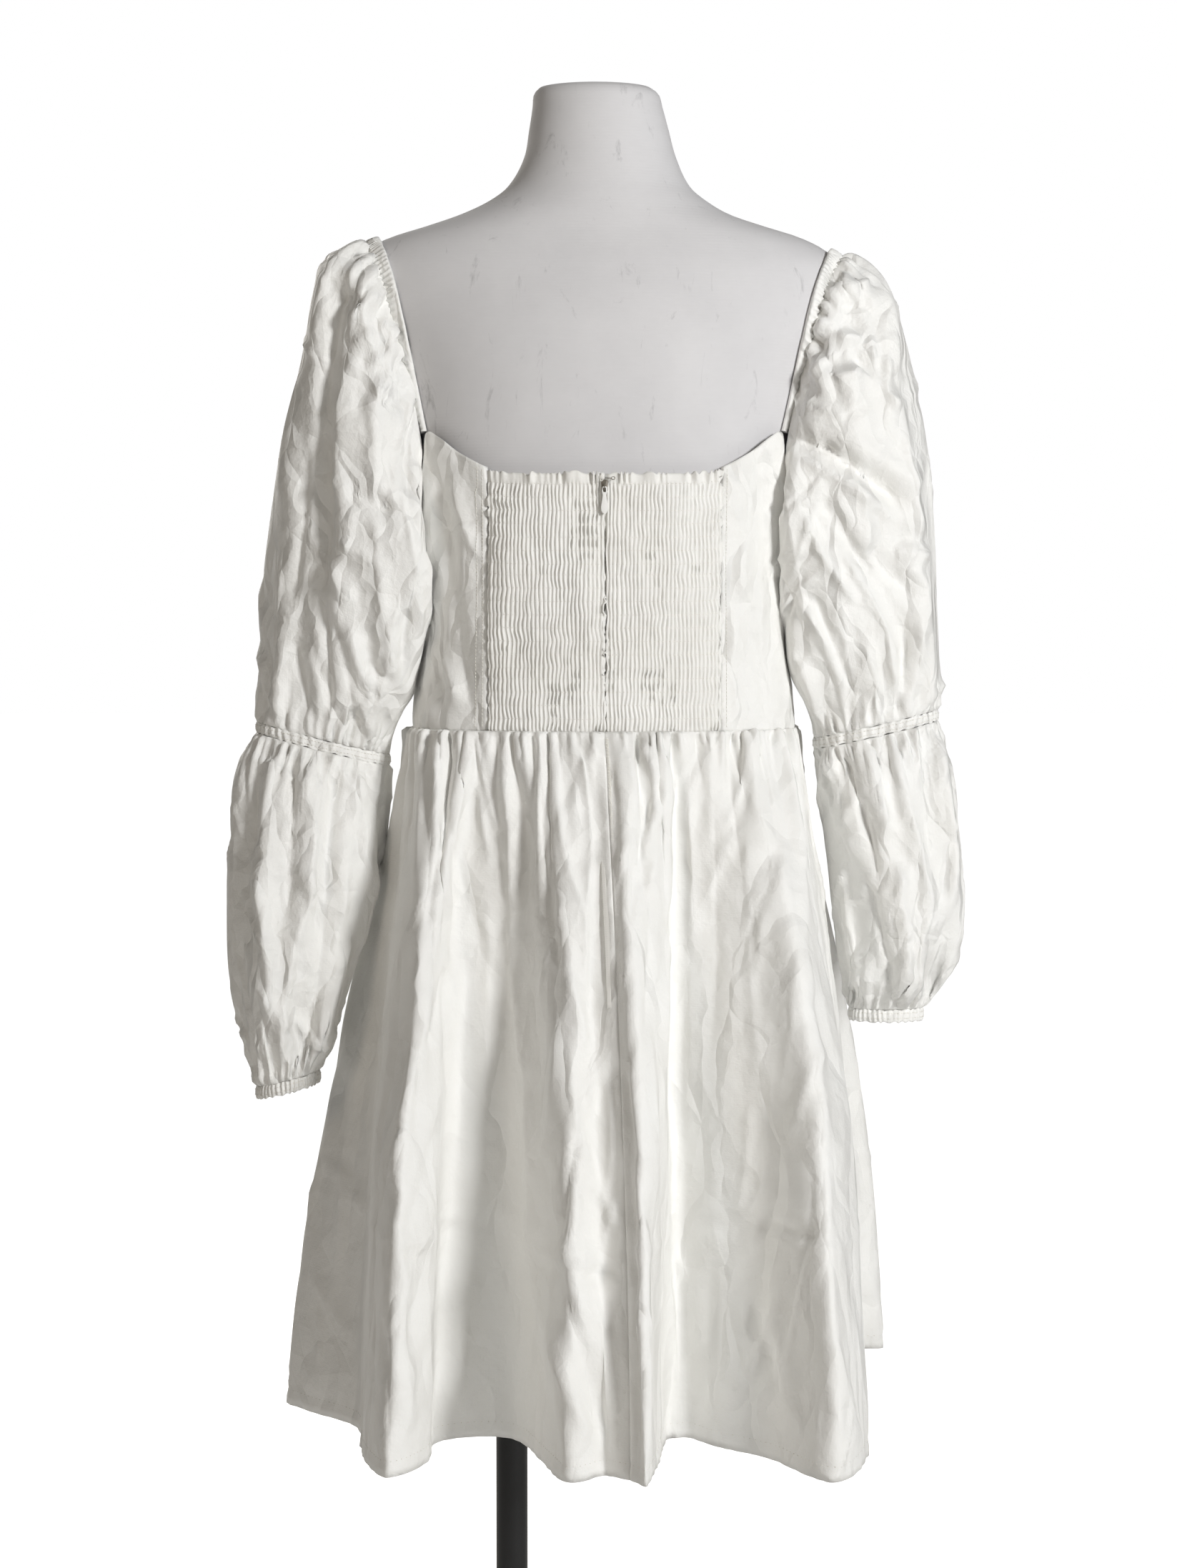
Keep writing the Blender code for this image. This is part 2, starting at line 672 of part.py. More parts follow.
def build_smock(side, parts):
    """One shirred back panel: raised upright ribs over a plain inside, with a ruffled header on top."""
    top_rows = [0.0, 0.03, 0.06]
    rows = top_rows + [0.28, 0.52, 0.76, 1.0]
    inner_edge = ZIP_GAP / 2
    outer_edge = SMOCK_HALF_WIDTH - SEAM_GAP / 2

    def plain(across, down):
        share = across if side > 0 else 1 - across
        x = side * mix(inner_edge, outer_edge, share)
        top = bodice_edge(bodice_turn(x, 1.2))
        height = mix(top, WAIST_HEIGHT + SEAM_GAP / 2, down)
        return bodice_point(bodice_turn(x, height), height)

    def ribbed(across, down):
        phase = 2 * math.pi * RIBS_PER_PANEL * across
        rib = RIB_HEIGHT * (0.5 - 0.5 * math.cos(phase))
        ruffle = HEADER_WAVE * (1 - math.cos(2 * math.pi * HEADER_WAVES * across))
        header = 1 - smooth_step(down / top_rows[-1])
        relief = mix(rib, ruffle, header)
        return plain(across, down) + outward(plain, across, down) * relief

    shape = cloth_wall(ribbed, 2 * RIBS_PER_PANEL, rows, plain=plain)
    name = "smock_back_right" if side > 0 else "smock_back_left"
    mesh_object(name, shape, SMOCKED_COTTON, parts)


def build_side_back(side, parts):
    """The plain panel between the shirring and the side seam."""

    def surface(across, down):
        share = across if side > 0 else 1 - across
        far_turn = SIDE_SEAM_TURN - math.degrees(SEAM_GAP / 2 / BODICE_SECTIONS[2].back)
        start = abs(bodice_turn(SMOCK_HALF_WIDTH + SEAM_GAP / 2, 1.1))
        guess = side * mix(start, far_turn, share)
        height = mix(bodice_edge(guess), WAIST_HEIGHT + SEAM_GAP / 2, down)
        near_turn = abs(bodice_turn(SMOCK_HALF_WIDTH + SEAM_GAP / 2, height))
        return bodice_point(side * mix(near_turn, far_turn, share), height)

    name = "side_back_right" if side > 0 else "side_back_left"
    mesh_object(name, cloth_wall(surface, 10, even_rows(5)), WHITE_COTTON, parts)


def build_front_bodice(parts):
    """The front of the bodice, from side seam to side seam, with the fullness of a general bust."""

    def surface(across, down):
        trim = math.degrees(SEAM_GAP / 2 / BODICE_SECTIONS[2].front)
        turn = mix(SIDE_SEAM_TURN + trim, 360 - SIDE_SEAM_TURN - trim, across)
        height = mix(bodice_edge(turn), WAIST_HEIGHT + SEAM_GAP / 2, down)
        return bodice_point(turn, height)

    mesh_object("front_bodice", cloth_wall(surface, 26, even_rows(5)), WHITE_COTTON, parts)


class Skirt:
    """The gathered skirt's outer face, between the waist seam and the folded hem."""

    def __init__(self):
        rows = [Vector((row.hem_x, row.hem_y, row.waist_turn)) for row in SKIRT_FOLDS]
        whole_turn = Vector((0, 0, 360))
        ahead = [rows[-1] - whole_turn] + rows + [rows[0] + whole_turn, rows[1] + whole_turn]
        steps = range(len(rows) * SAMPLES_PER_FOLD + 1)
        self.samples = [through(ahead, 1 + step / SAMPLES_PER_FOLD) for step in steps]
        waist = [bodice_point(sample.z, WAIST_HEIGHT) for sample in self.samples]
        hem_steps = [(end.xy - start.xy).length for start, end in zip(self.samples, self.samples[1:])]
        waist_steps = [(end - start).length for start, end in zip(waist, waist[1:])]
        self.lengths = [0.0]
        for hem_step, waist_step in zip(hem_steps, waist_steps):
            step = hem_step / sum(hem_steps) + waist_step / sum(waist_steps)
            self.lengths.append(self.lengths[-1] + step)

    def fold_share(self, fold):
        """How far round the skirt a row of the folds lies; shares go evenly by the waist and the hem."""
        return self.lengths[fold * SAMPLES_PER_FOLD] / self.lengths[-1]

    def hem_at(self, share):
        """The hem's x and y, and the turn at the waist, at a share of the way round."""
        whole = math.floor(share)
        length = (share - whole) * self.lengths[-1]
        low, high = 0, len(self.lengths) - 1
        while high - low > 1:
            middle = (low + high) // 2
            if self.lengths[middle] <= length:
                low = middle
            else:
                high = middle
        part = (length - self.lengths[low]) / (self.lengths[high] - self.lengths[low])
        found = self.samples[low].lerp(self.samples[high], part)
        return found.x, found.y, found.z + 360 * whole

    def base(self, share, down):
        """The skirt without its gathers."""
        hem_x, hem_y, turn = self.hem_at(share)
        waist = bodice_point(turn, WAIST_HEIGHT)
        flare = 1 - (1 - min(down, 1.0)) ** (FLARE_POWER + FLARE_TO_RIGHT * hem_x)
        top = WAIST_HEIGHT - SEAM_GAP / 2
        return Vector((mix(waist.x, hem_x, flare), mix(waist.y, hem_y, flare), mix(top, HEM_HEIGHT, down)))

    def point(self, share, down, wave):
        """The skirt with gathers, where wave runs from -1 in a trough to 1 on a gather."""
        point = self.base(share, down)
        if down < GATHER_FADE:
            step = 2e-3
            along = self.base(share + step, 0) - self.base(share - step, 0)
            out = Vector((along.y, -along.x, 0)).normalized()
            waist = self.base(share, 0)
            calm = smooth_step((abs(waist.x) - TAPE_HALF_WIDTH) / CALM_BESIDE_ZIP) if waist.y < 0 else 1.0
            point += out * wave * calm * GATHER_DEPTH * (1 - down / GATHER_FADE) ** 1.5
        return point

    def panel(self, start, end, gathers):
        """The surface of one panel between two shares of the way round, trimmed for the seams."""

        def inset(share, down):
            step = 1e-3
            speed = (self.base(share + step, down) - self.base(share - step, down)).length / (2 * step)
            return SEAM_GAP / 2 / speed

        def surface(across, down):
            low = start + inset(start, down)
            high = end - inset(end, down)
            wave = -math.cos(2 * math.pi * gathers * across)
            return self.point(mix(low, high, across), down, wave)

        return surface

    def back_panels(self):
        """The surfaces of the left and right back panels, on each side of the centre-back seam."""
        centre = self.fold_share(CENTRE_BACK_FOLD)
        gathers = SKIRT_GATHERS // 4
        return self.panel(0.0, centre, gathers), self.panel(centre, self.fold_share(RIGHT_SIDE_FOLD), gathers)


def build_skirt(parts):
    """Two back panels, which meet at the centre-back seam, and the front."""
    skirt = Skirt()
    back_gathers = SKIRT_GATHERS // 4
    left, right = skirt.back_panels()
    front = skirt.panel(skirt.fold_share(RIGHT_SIDE_FOLD), 1.0, 2 * back_gathers)
    for name, surface, gathers in (
        ("skirt_back_left", left, back_gathers),
        ("skirt_back_right", right, back_gathers),
        ("skirt_front", front, 2 * back_gathers),
    ):
        mesh_object(name, cloth_wall(surface, 2 * gathers, SKIRT_ROWS), WHITE_COTTON, parts)
    return skirt


class Shoulder:
    """One shoulder's casing route and the sleeve that hangs from it. side is 1 for +X and -1 for -X."""

    def __init__(self, side, rings, puff):
        self.side = side
        self.rings = rings
        self.puff = puff
        self.route = []
        crest = ridge_height(side * max(row.out for row in CASING_ROUTE))
        for row in CASING_ROUTE:
            height = mix(CASING_START_HEIGHT, crest, row.rise)
            on_form = form_side_point(side * row.out, height, row.front)
            lift = CASING_HALF_THICK * 1.25 + CASING_CLEARANCE
            self.route.append(on_form + form_normal(on_form) * lift)

    def casing_frame(self, share):
        """A point of the casing's middle, its direction, the form's normal and the way to the sleeve."""
        place = share * (len(self.route) - 1)
        point = through(self.route, place)
        ahead = through(self.route, min(place + 0.05, len(self.route) - 1))
        behind = through(self.route, max(place - 0.05, 0))
        along = (ahead - behind).normalized()
        normal = form_normal(point)
        across = along.cross(normal).normalized()
        if across.x * self.side < 0:
            across = -across
        return point, along, across.cross(along).normalized() * self.side, across

    def start_point(self, place):
        """The sleeve's upper edge, at a place in the table of starts."""
        count = len(SLEEVE_STARTS)
        at = math.floor(place)
        share = place - at
        first, second = SLEEVE_STARTS[at % count], SLEEVE_STARTS[(at + 1) % count]
        if first.on == second.on:
            return self.edge_point(first.on, mix(first.place, second.place, share))
        start = self.edge_point(first.on, first.place)
        return start.lerp(self.edge_point(second.on, second.place), share)

    def edge_point(self, on, place):
        if on == "casing":
            point, _, normal, across = self.casing_frame(place)
            reach = CASING_HALF_WIDTH * 1.1 + SEAM_GAP
            return point + across * reach + normal * CASING_HALF_THICK * 0.6
        point = bodice_point(self.side * place, bodice_edge(place))
        out = outward(lambda a, d: bodice_point(360 * a, mix(1.2, 1.0, d)), self.side * place / 360, 0.4)
        return point + out * (2 * SEAM_GAP)

    def ring_point(self, ring, turn, inset=0.0, lift=0.0):
        """A point of a level sleeve ring; turn 0 is outside, 90 at the back."""
        angle = math.radians(turn)
        out = (ring.half_width - inset) * math.cos(angle)
        x = self.side * (ring.out + out)
        y = -ring.back - (ring.half_depth - inset) * math.sin(angle)
        return Vector((x, y, ring.height + ring.tilt * out + lift))

    @staticmethod
    def beside_body(turn):
        """0 on the inner side, where the sleeve lies against the bodice, and 1 round the rest."""
        return smooth_step((180 - abs(turn)) / (180 - CLEAR_OF_BODICE))

    def upper(self, across, down):
        """The upper puff, from the casing and armhole down to the elbow band."""
        count = len(SLEEVE_STARTS)
        turned_share = across if self.side > 0 else 1 - across
        place = (turned_share % 1.0) * count
        starts = [Vector((row.out, row.back, row.up)) for row in SLEEVE_STARTS]
        leave = through(starts, place, closed=True)
        turns = [Vector((row.elbow_turn, 0, 0)) for row in SLEEVE_STARTS]
        wrapped = turns + [Vector((-180, 0, 0)), Vector((-210, 0, 0))]
        elbow_turn = through([Vector((210, 0, 0))] + wrapped, place + 1).x
        start = self.start_point(place)
        end = self.ring_point(self.rings[0], elbow_turn, 0.0, ELBOW_BAND_HEIGHT / 2 + BAND_GAP)
        depart = Vector((self.side * leave.x, -leave.y, leave.z))
        arrive = Vector((self.side * 0.03 * math.cos(math.radians(elbow_turn)), 0, -0.30))
        square, cube = down**2, down**3
        point = (
            (2 * cube - 3 * square + 1) * start
            + (cube - 2 * square + down) * depart
            + (3 * square - 2 * cube) * end
            + (cube - square) * arrive
        )
        angle = math.radians(elbow_turn)
        out = Vector((self.side * math.cos(angle), -math.sin(angle), 0))
        folds = math.sin(3 * angle + 5 * down + self.side) + 0.6 * math.sin(5 * angle - 4 * down)
        fade = smooth_step(4 * down) * smooth_step(4 * (1 - down)) * self.beside_body(elbow_turn)
        near_elbow = smooth_step(1 - 6 * (1 - down))
        gather = math.cos(2 * math.pi * BAND_WAVES * across)
        on_casing = smooth_step((place - 2.5) * 2) * smooth_step((9.5 - place) * 2)
        head = smooth_step(1 - 5 * down) * smooth_step(20 * down) * on_casing
        head_wave = math.cos(math.pi * SLEEVE_COLUMNS * across)
        lobe = smooth_step((elbow_turn - 65) / 35) * smooth_step((180 - elbow_turn) / 45)
        behind = column(self.puff, "behind", down, "down") * lobe
        outside = column(self.puff, "outside", down, "down") * max(math.cos(angle), 0.0)
        over_side = max(-math.cos(angle), 0.0) * (0.5 + 0.5 * math.sin(angle))
        point.x -= self.side * column(self.puff, "inward", down, "down") * over_side
        relief = PUFF_FOLD * folds * fade + behind + outside
        relief += SLEEVE_GATHER * (gather * near_elbow * 0.5 + head_wave * head)
        return point + out * relief

    def lower(self, across, down):
        """The lower puff, from the elbow band down to the cuff."""
        turned_share = across if self.side > 0 else 1 - across
        turn = 180 - 360 * turned_share
        place = down * (len(self.rings) - 1)
        values = [Vector((row.height, row.out, row.back)) for row in self.rings]
        sizes = [Vector((row.half_width, row.half_depth, row.tilt)) for row in self.rings]
        middle, size = through(values, place), through(sizes, place)
        ring = SleeveRing(*middle, *size)
        top_trim = -(ELBOW_BAND_HEIGHT / 2 + BAND_GAP) * (1 - smooth_step(3 * down))
        low_trim = (CUFF_HEIGHT / 2 + BAND_GAP) * smooth_step(3 * down - 2)
        point = self.ring_point(ring, turn, 0.0, top_trim + low_trim)
        angle = math.radians(turn)
        out = Vector((self.side * math.cos(angle), -math.sin(angle), 0))
        folds = math.sin(4 * angle + 3 * down - self.side) + 0.5 * math.sin(6 * angle + 2 * down)
        fade = smooth_step(4 * down) * smooth_step(4 * (1 - down))
        gather = math.cos(2 * math.pi * BAND_WAVES * across)
        near_ends = max(smooth_step(1 - 4 * down), smooth_step(1 - 4 * (1 - down)))
        relief = PUFF_FOLD * folds * fade + SLEEVE_GATHER * 0.5 * gather * near_ends
        return point + out * relief

    def band(self, ring, height):
        """The surface of a gathered elastic band round a level ring."""

        def surface(across, down):
            turned_share = across if self.side > 0 else 1 - across
            turn = 180 - 360 * turned_share
            wave = BAND_WAVE * math.cos(2 * math.pi * BAND_WAVES * across)
            return self.ring_point(ring, turn, 0.0008 - wave, mix(height / 2, -height / 2, down))

        return surface


def build_casing(shoulder, name, parts):
    """The gathered elastic casing along one side of the neckline, a solid band on the form's surface."""
    stations = 2 * CASING_WAVES
    section_points = 8
    shape = bmesh.new()
    rings = []
    for station in range(stations + 1):
        point, _, normal, across = shoulder.casing_frame(station / stations)
        swell = 1.0 + 0.22 * (-1) ** station
        ring = []
        for i in range(section_points):
            angle = 2 * math.pi * (i + 0.5) / section_points
            wide = CASING_HALF_WIDTH * signed_power(math.cos(angle), 0.6)
            thick = CASING_HALF_THICK * swell * signed_power(math.sin(angle), 0.6)
            ring.append(shape.verts.new(point + across * wide + normal * thick))
        rings.append(ring)
    for near, far in zip(rings, rings[1:]):
        for i in range(section_points):
            j = (i + 1) % section_points
            shape.faces.new((near[i], near[j], far[j], far[i]))
    shape.faces.new(list(reversed(rings[0])))
    shape.faces.new(rings[-1])
    bmesh.ops.recalc_face_normals(shape, faces=shape.faces)
    mesh_object(name, shape, WHITE_COTTON, parts)


def build_sleeves(parts):
    """Casing, upper puff, elbow band, lower puff and cuff on each side."""
    sides = ((-1, "left", LEFT_SLEEVE, LEFT_PUFF), (1, "right", RIGHT_SLEEVE, RIGHT_PUFF))
    for side, word, rings, puff in sides:
        shoulder = Shoulder(side, rings, puff)
        build_casing(shoulder, f"neck_casing_{word}", parts)
        pieces = (
            ("sleeve_upper", shoulder.upper, [0.0, 0.07, 0.17, 0.32, 0.55, 0.80, 1.0], CLOTH_WALL),
            ("elbow_band", shoulder.band(rings[0], ELBOW_BAND_HEIGHT), [0.0, 1.0], BAND_WALL),
            ("sleeve_lower", shoulder.lower, [0.0, 0.12, 0.35, 0.60, 0.85, 1.0], CLOTH_WALL),
            ("cuff", shoulder.band(rings[-1], CUFF_HEIGHT), [0.0, 1.0], BAND_WALL),
        )
        for piece, surface, rows, thick in pieces:
            shape = cloth_wall(surface, SLEEVE_COLUMNS, rows, closed=True, thick=thick)
            mesh_object(f"{piece}_{word}", shape, WHITE_COTTON, parts)


def build_zip_tape(skirt, parts):
    """The concealed zip's tape, behind the seam of the bodice and then of the skirt."""
    seam = []
    for height in (ZIP_TOP, 1.104, 1.04, WAIST_HEIGHT + 0.004):
        across = (-TAPE_HALF_WIDTH, 0.0, TAPE_HALF_WIDTH)
        seam.append([bodice_point(bodice_turn(x, height), height) for x in across])
    left, right = skirt.back_panels()
    step = 1 / (2 * (SKIRT_GATHERS // 4))
    for down in SKIRT_ROWS[:ZIP_SKIRT_ROWS]:
        inner_left, inner_right = left(1.0, down), right(0.0, down)
        next_left, next_right = left(1.0 - step, down), right(step, down)
        reach_left = TAPE_HALF_WIDTH / (next_left - inner_left).length
        reach_right = TAPE_HALF_WIDTH / (next_right - inner_right).length
        middle = inner_left.lerp(inner_right, 0.5)
        seam.append([inner_left.lerp(next_left, reach_left), middle, inner_right.lerp(next_right, reach_right)])

    def tape(across, down):
        row = min(max(math.floor(down * (len(seam) - 1)), 0), len(seam) - 2)
        place = 0 if across < 0.5 else 1
        share, part = down * (len(seam) - 1) - row, across * 2 - place
        upper = seam[row][place].lerp(seam[row][place + 1], part)
        lower = seam[row + 1][place].lerp(seam[row + 1][place + 1], part)
        return upper.lerp(lower, share)

    sunk = CLOTH_WALL + TAPE_GAP
    shape = cloth_wall(tape, 2, even_rows(len(seam) - 1), thick=TAPE_THICK, sunk=sunk)
    mesh_object("zip_tape", shape, ZIP_TAPE_CLOTH, parts)


def poly_curve(name, outlines, dimensions, finish, collection, cyclic):
    """A curve object of straight stretches through each list of points."""
    curve = bpy.data.curves.new(name, "CURVE")
    curve.dimensions = dimensions
    for points in outlines:
        spline = curve.splines.new("POLY")
        spline.points.add(len(points) - 1)
        for place, point in zip(spline.points, points):
            place.co = (*point, 1.0)
        spline.use_cyclic_u = cyclic
    return add_object(name, curve, finish, collection)


def build_slider(parts, cutters):
    """The zip's slider: a small rounded body with a wire bail that holds the pull tab."""
    thick = SLIDER_SIZE[1]
    pivot = pull_pivot()
    face = pivot.y + PULL_PIVOT_OFF
    shape = bmesh.new()
    bmesh.ops.create_cube(shape, size=1.0)
    bmesh.ops.scale(shape, vec=SLIDER_SIZE, verts=shape.verts)
    slider = mesh_object("zip_slider", shape, WHITE_ENAMEL, parts)
    slider.location = (0, face + thick / 2, pivot.z + SLIDER_ABOVE_PIVOT)
    bevel = slider.modifiers.new("rounded edges", "BEVEL")
    bevel.width = 0.0005
    bevel.segments = 2

    steps = 8
    path = [(0, face + thick / 2, pivot.z - BAIL_RADIUS)]
    for i in range(steps + 1):
        angle = math.pi * i / steps
        path.append((0, pivot.y - BAIL_RADIUS * math.sin(angle), pivot.z - BAIL_RADIUS * math.cos(angle)))
    path.append((0, face + thick / 2, pivot.z + BAIL_RADIUS))
    wire = poly_curve("bail_wire", [path], "3D", WHITE_ENAMEL, cutters, False)
    wire.data.bevel_depth = BAIL_WIRE_RADIUS
    wire.data.bevel_resolution = 2
    wire.data.use_fill_caps = True
    bpy.context.view_layer.update()
    graph = bpy.context.evaluated_depsgraph_get()
    mesh = bpy.data.meshes.new_from_object(wire.evaluated_get(graph))
    shape = bmesh.new()
    shape.from_mesh(mesh)
    bmesh.ops.remove_doubles(shape, verts=shape.verts, dist=1e-6)
    shape.to_mesh(mesh)
    shape.free()
    bail = bpy.data.objects.new("bail", mesh)
    bail.matrix_world = wire.matrix_world.copy()
    cutters.objects.link(bail)
    bpy.data.objects.remove(wire, do_unlink=True)
    bail.hide_render = True
    bail.display_type = "WIRE"
    join = slider.modifiers.new("bail", "BOOLEAN")
    join.operation = "UNION"
    join.object = bail


def pull_pivot():
    """The middle of the pull tab's upper bar, which turns in the bail."""
    cloth = bodice_point(0, PULL_PIVOT_HEIGHT).y - RIB_HEIGHT - SLIDER_GAP
    return Vector((0, cloth - SLIDER_SIZE[1] - PULL_PIVOT_OFF, PULL_PIVOT_HEIGHT))


def build_pull(parts):
    """The drop-shaped pull tab, with its origin on the bar that turns in the bail."""
    right = [(row.half_width, -row.down) for row in PULL_OUTLINE]
    left = [(-x, y) for x, y in reversed(right) if x > 0]
    half, top, bottom = PULL_SLOT
    slot = [(-half, -bottom), (-half, -top), (half, -top), (half, -bottom)]
    outlines = [[(x, y, 0) for x, y in outline] for outline in (right + left, slot)]
    pull = poly_curve("zip_pull", outlines, "2D", WHITE_ENAMEL, parts, True)
    pull.data.fill_mode = "BOTH"
    pull.data.extrude = PULL_THICK / 2
    pull.location = pull_pivot()
    pull.rotation_euler.x = math.radians(90)


def main():
    clear_scene()
    parts = new_collection("mini dress on a dress form")
    cutters = new_collection("cutters")
    build_form(parts, cutters)
    build_stand(parts)
    for side in (-1, 1):
        build_smock(side, parts)
        build_side_back(side, parts)
    build_front_bodice(parts)
    skirt = build_skirt(parts)
    build_sleeves(parts)
    build_zip_tape(skirt, parts)
    build_slider(parts, cutters)
    build_pull(parts)


main()
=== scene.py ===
"""The looks of a white mini dress with puff sleeves on a limbless dress form.

Metres, +Z up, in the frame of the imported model: the origin is the centre of the base's underside and the
back of the dress faces -Y. A turn round the body is 0 at the centre back, 90 degrees at +X and 180 at the
front. Every cloth piece is a grid of points, rows downwards and columns to the right as seen from outside.
"""

from __future__ import annotations

import logging
import math
from dataclasses import dataclass, field
from enum import Enum
from typing import Any, Callable, NamedTuple, Sequence

import bmesh
import bpy
import numpy as np
from mathutils import Matrix, Vector

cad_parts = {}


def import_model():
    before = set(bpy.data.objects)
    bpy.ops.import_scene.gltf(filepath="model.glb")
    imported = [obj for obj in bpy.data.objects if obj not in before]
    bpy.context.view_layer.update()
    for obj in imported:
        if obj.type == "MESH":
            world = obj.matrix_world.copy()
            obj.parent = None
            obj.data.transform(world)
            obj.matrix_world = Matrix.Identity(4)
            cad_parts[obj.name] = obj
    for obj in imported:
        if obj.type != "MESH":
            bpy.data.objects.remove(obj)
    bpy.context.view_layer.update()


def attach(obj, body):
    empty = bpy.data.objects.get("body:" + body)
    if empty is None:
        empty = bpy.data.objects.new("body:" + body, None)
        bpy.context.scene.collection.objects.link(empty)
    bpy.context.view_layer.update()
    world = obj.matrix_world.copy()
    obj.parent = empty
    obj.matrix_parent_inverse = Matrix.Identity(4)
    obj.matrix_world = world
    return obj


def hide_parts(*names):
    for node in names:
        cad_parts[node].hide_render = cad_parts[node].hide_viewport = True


LOG = logging.getLogger("mini_dress")
DRESS = "dress_on_form"
PULL = "pull_tab"
Array = np.ndarray
Socket = bpy.types.NodeSocket
Object = bpy.types.Object
Material = bpy.types.Material
Shape = bmesh.types.BMesh
# A wave texture of scale WAVE / p has bands p millimetres wide, light and dark by turns
WAVE = 157.0
# How far the middle of a thread and of a top stitch lies above the cloth
THREAD_UP = 0.00012
STITCH_UP = 0.0001
# Placed creases, in metres of relief for a millimetre in the table, and their least half width in pixels
CREASE_RELIEF = 2.0e-3
CREASE_WIDTH = 6.0
# Metres in half a millimetre, for a half width or length
HALF_MM = 5e-4


# Tables of the solids' shapes


def table(kind: Callable, *rows: tuple) -> tuple:
    """Rows of one kind, each given as its columns."""
    return tuple(kind(*row) for row in rows)


class FormSection(NamedTuple):
    """A level section of the dress form; shift moves its centre along X."""

    height: float
    half_width: float
    back: float
    front: float
    square: float
    shift: float


class BodiceSection(NamedTuple):
    """A level section of the bodice's outer face."""

    height: float
    half_width: float
    back: float
    front: float


class EdgePoint(NamedTuple):
    """A point of the bodice's upper edge, round half of the body."""

    turn: float
    height: float


class SkirtFold(NamedTuple):
    """Where a fold of the skirt lies on the hem, and its turn at the waist."""

    hem_x: float
    hem_y: float
    waist_turn: float


class CasingPoint(NamedTuple):
    """A point of a neck casing's route: its distance from the centre, its rise and its side of the body."""

    out: float
    rise: float
    front: bool


class SleeveStart(NamedTuple):
    """Where a line of a sleeve starts, which way it leaves and its turn on the elbow ring."""

    on: str
    place: float
    out: float
    back: float
    up: float
    elbow_turn: float


class SleeveRing(NamedTuple):
    """A level ring of a lower sleeve; tilt lifts its outer side."""

    height: float
    out: float
    back: float
    half_width: float
    half_depth: float
    tilt: float


class PuffRow(NamedTuple):
    """An upper sleeve's fullness at a share of the way down."""

    down: float
    outside: float
    behind: float
    inward: float


FORM_SECTIONS = table(
    FormSection,
    (0.650, 0.156, 0.094, 0.082, 2.3, 0.0),
    (0.657, 0.164, 0.102, 0.089, 2.3, 0.0),
    (0.690, 0.170, 0.108, 0.093, 2.3, 0.0),
    (0.760, 0.171, 0.109, 0.094, 2.3, 0.0),
    (0.830, 0.155, 0.099, 0.091, 2.3, 0.0),
    (0.900, 0.134, 0.087, 0.088, 2.3, 0.0),
    (0.955, 0.125, 0.080, 0.087, 2.3, 0.0),
    (1.010, 0.129, 0.084, 0.093, 2.3, 0.0),
    (1.070, 0.133, 0.090, 0.105, 2.3, 0.0),
    (1.130, 0.136, 0.093, 0.115, 2.3, 0.0),
    (1.180, 0.141, 0.093, 0.111, 2.3, 0.0),
    (1.225, 0.148, 0.091, 0.101, 2.3, 0.0),
    (1.265, 0.157, 0.089, 0.091, 2.2, 0.0),
    (1.300, 0.175, 0.087, 0.083, 2.1, 0.0),
    (1.330, 0.189, 0.083, 0.075, 2.0, -0.002),
    (1.352, 0.192, 0.077, 0.067, 2.0, -0.005),
    (1.367, 0.180, 0.071, 0.060, 2.0, -0.007),
    (1.377, 0.160, 0.067, 0.057, 2.0, -0.007),
    (1.385, 0.134, 0.065, 0.056, 2.0, -0.007),
    (1.394, 0.107, 0.063, 0.056, 2.0, -0.007),
    (1.404, 0.087, 0.060, 0.057, 2.0, -0.005),
    (1.416, 0.0715, 0.056, 0.058, 2.0, -0.004),
    (1.438, 0.0596, 0.050, 0.058, 2.0, -0.003),
    (1.461, 0.0542, 0.046, 0.056, 2.0, -0.004),
    (1.478, 0.0506, 0.043, 0.053, 2.0, -0.005),
    (1.488, 0.0485, 0.040, 0.050, 2.0, -0.006),
    (1.4925, 0.0435, 0.035, 0.045, 2.0, -0.007),
)
SHOULDER_FOOT = 15

BODICE_SECTIONS = table(
    BodiceSection,
    (0.980, 0.1515, 0.1050, 0.112),
    (1.025, 0.1480, 0.1045, 0.119),
    (1.070, 0.1430, 0.1035, 0.128),
    (1.115, 0.1420, 0.1030, 0.133),
    (1.165, 0.1450, 0.1020, 0.127),
    (1.230, 0.1540, 0.0990, 0.112),
)
BODICE_SQUARE = 2.4

BODICE_EDGE = table(
    EdgePoint,
    (0, 1.1905),
    (30, 1.1930),
    (45, 1.2065),
    (56, 1.2205),
    (63, 1.2220),
    (68, 1.195),
    (78, 1.135),
    (92, 1.112),
    (106, 1.135),
    (117, 1.188),
    (122, 1.205),
    (130, 1.204),
    (150, 1.186),
    (180, 1.180),
)

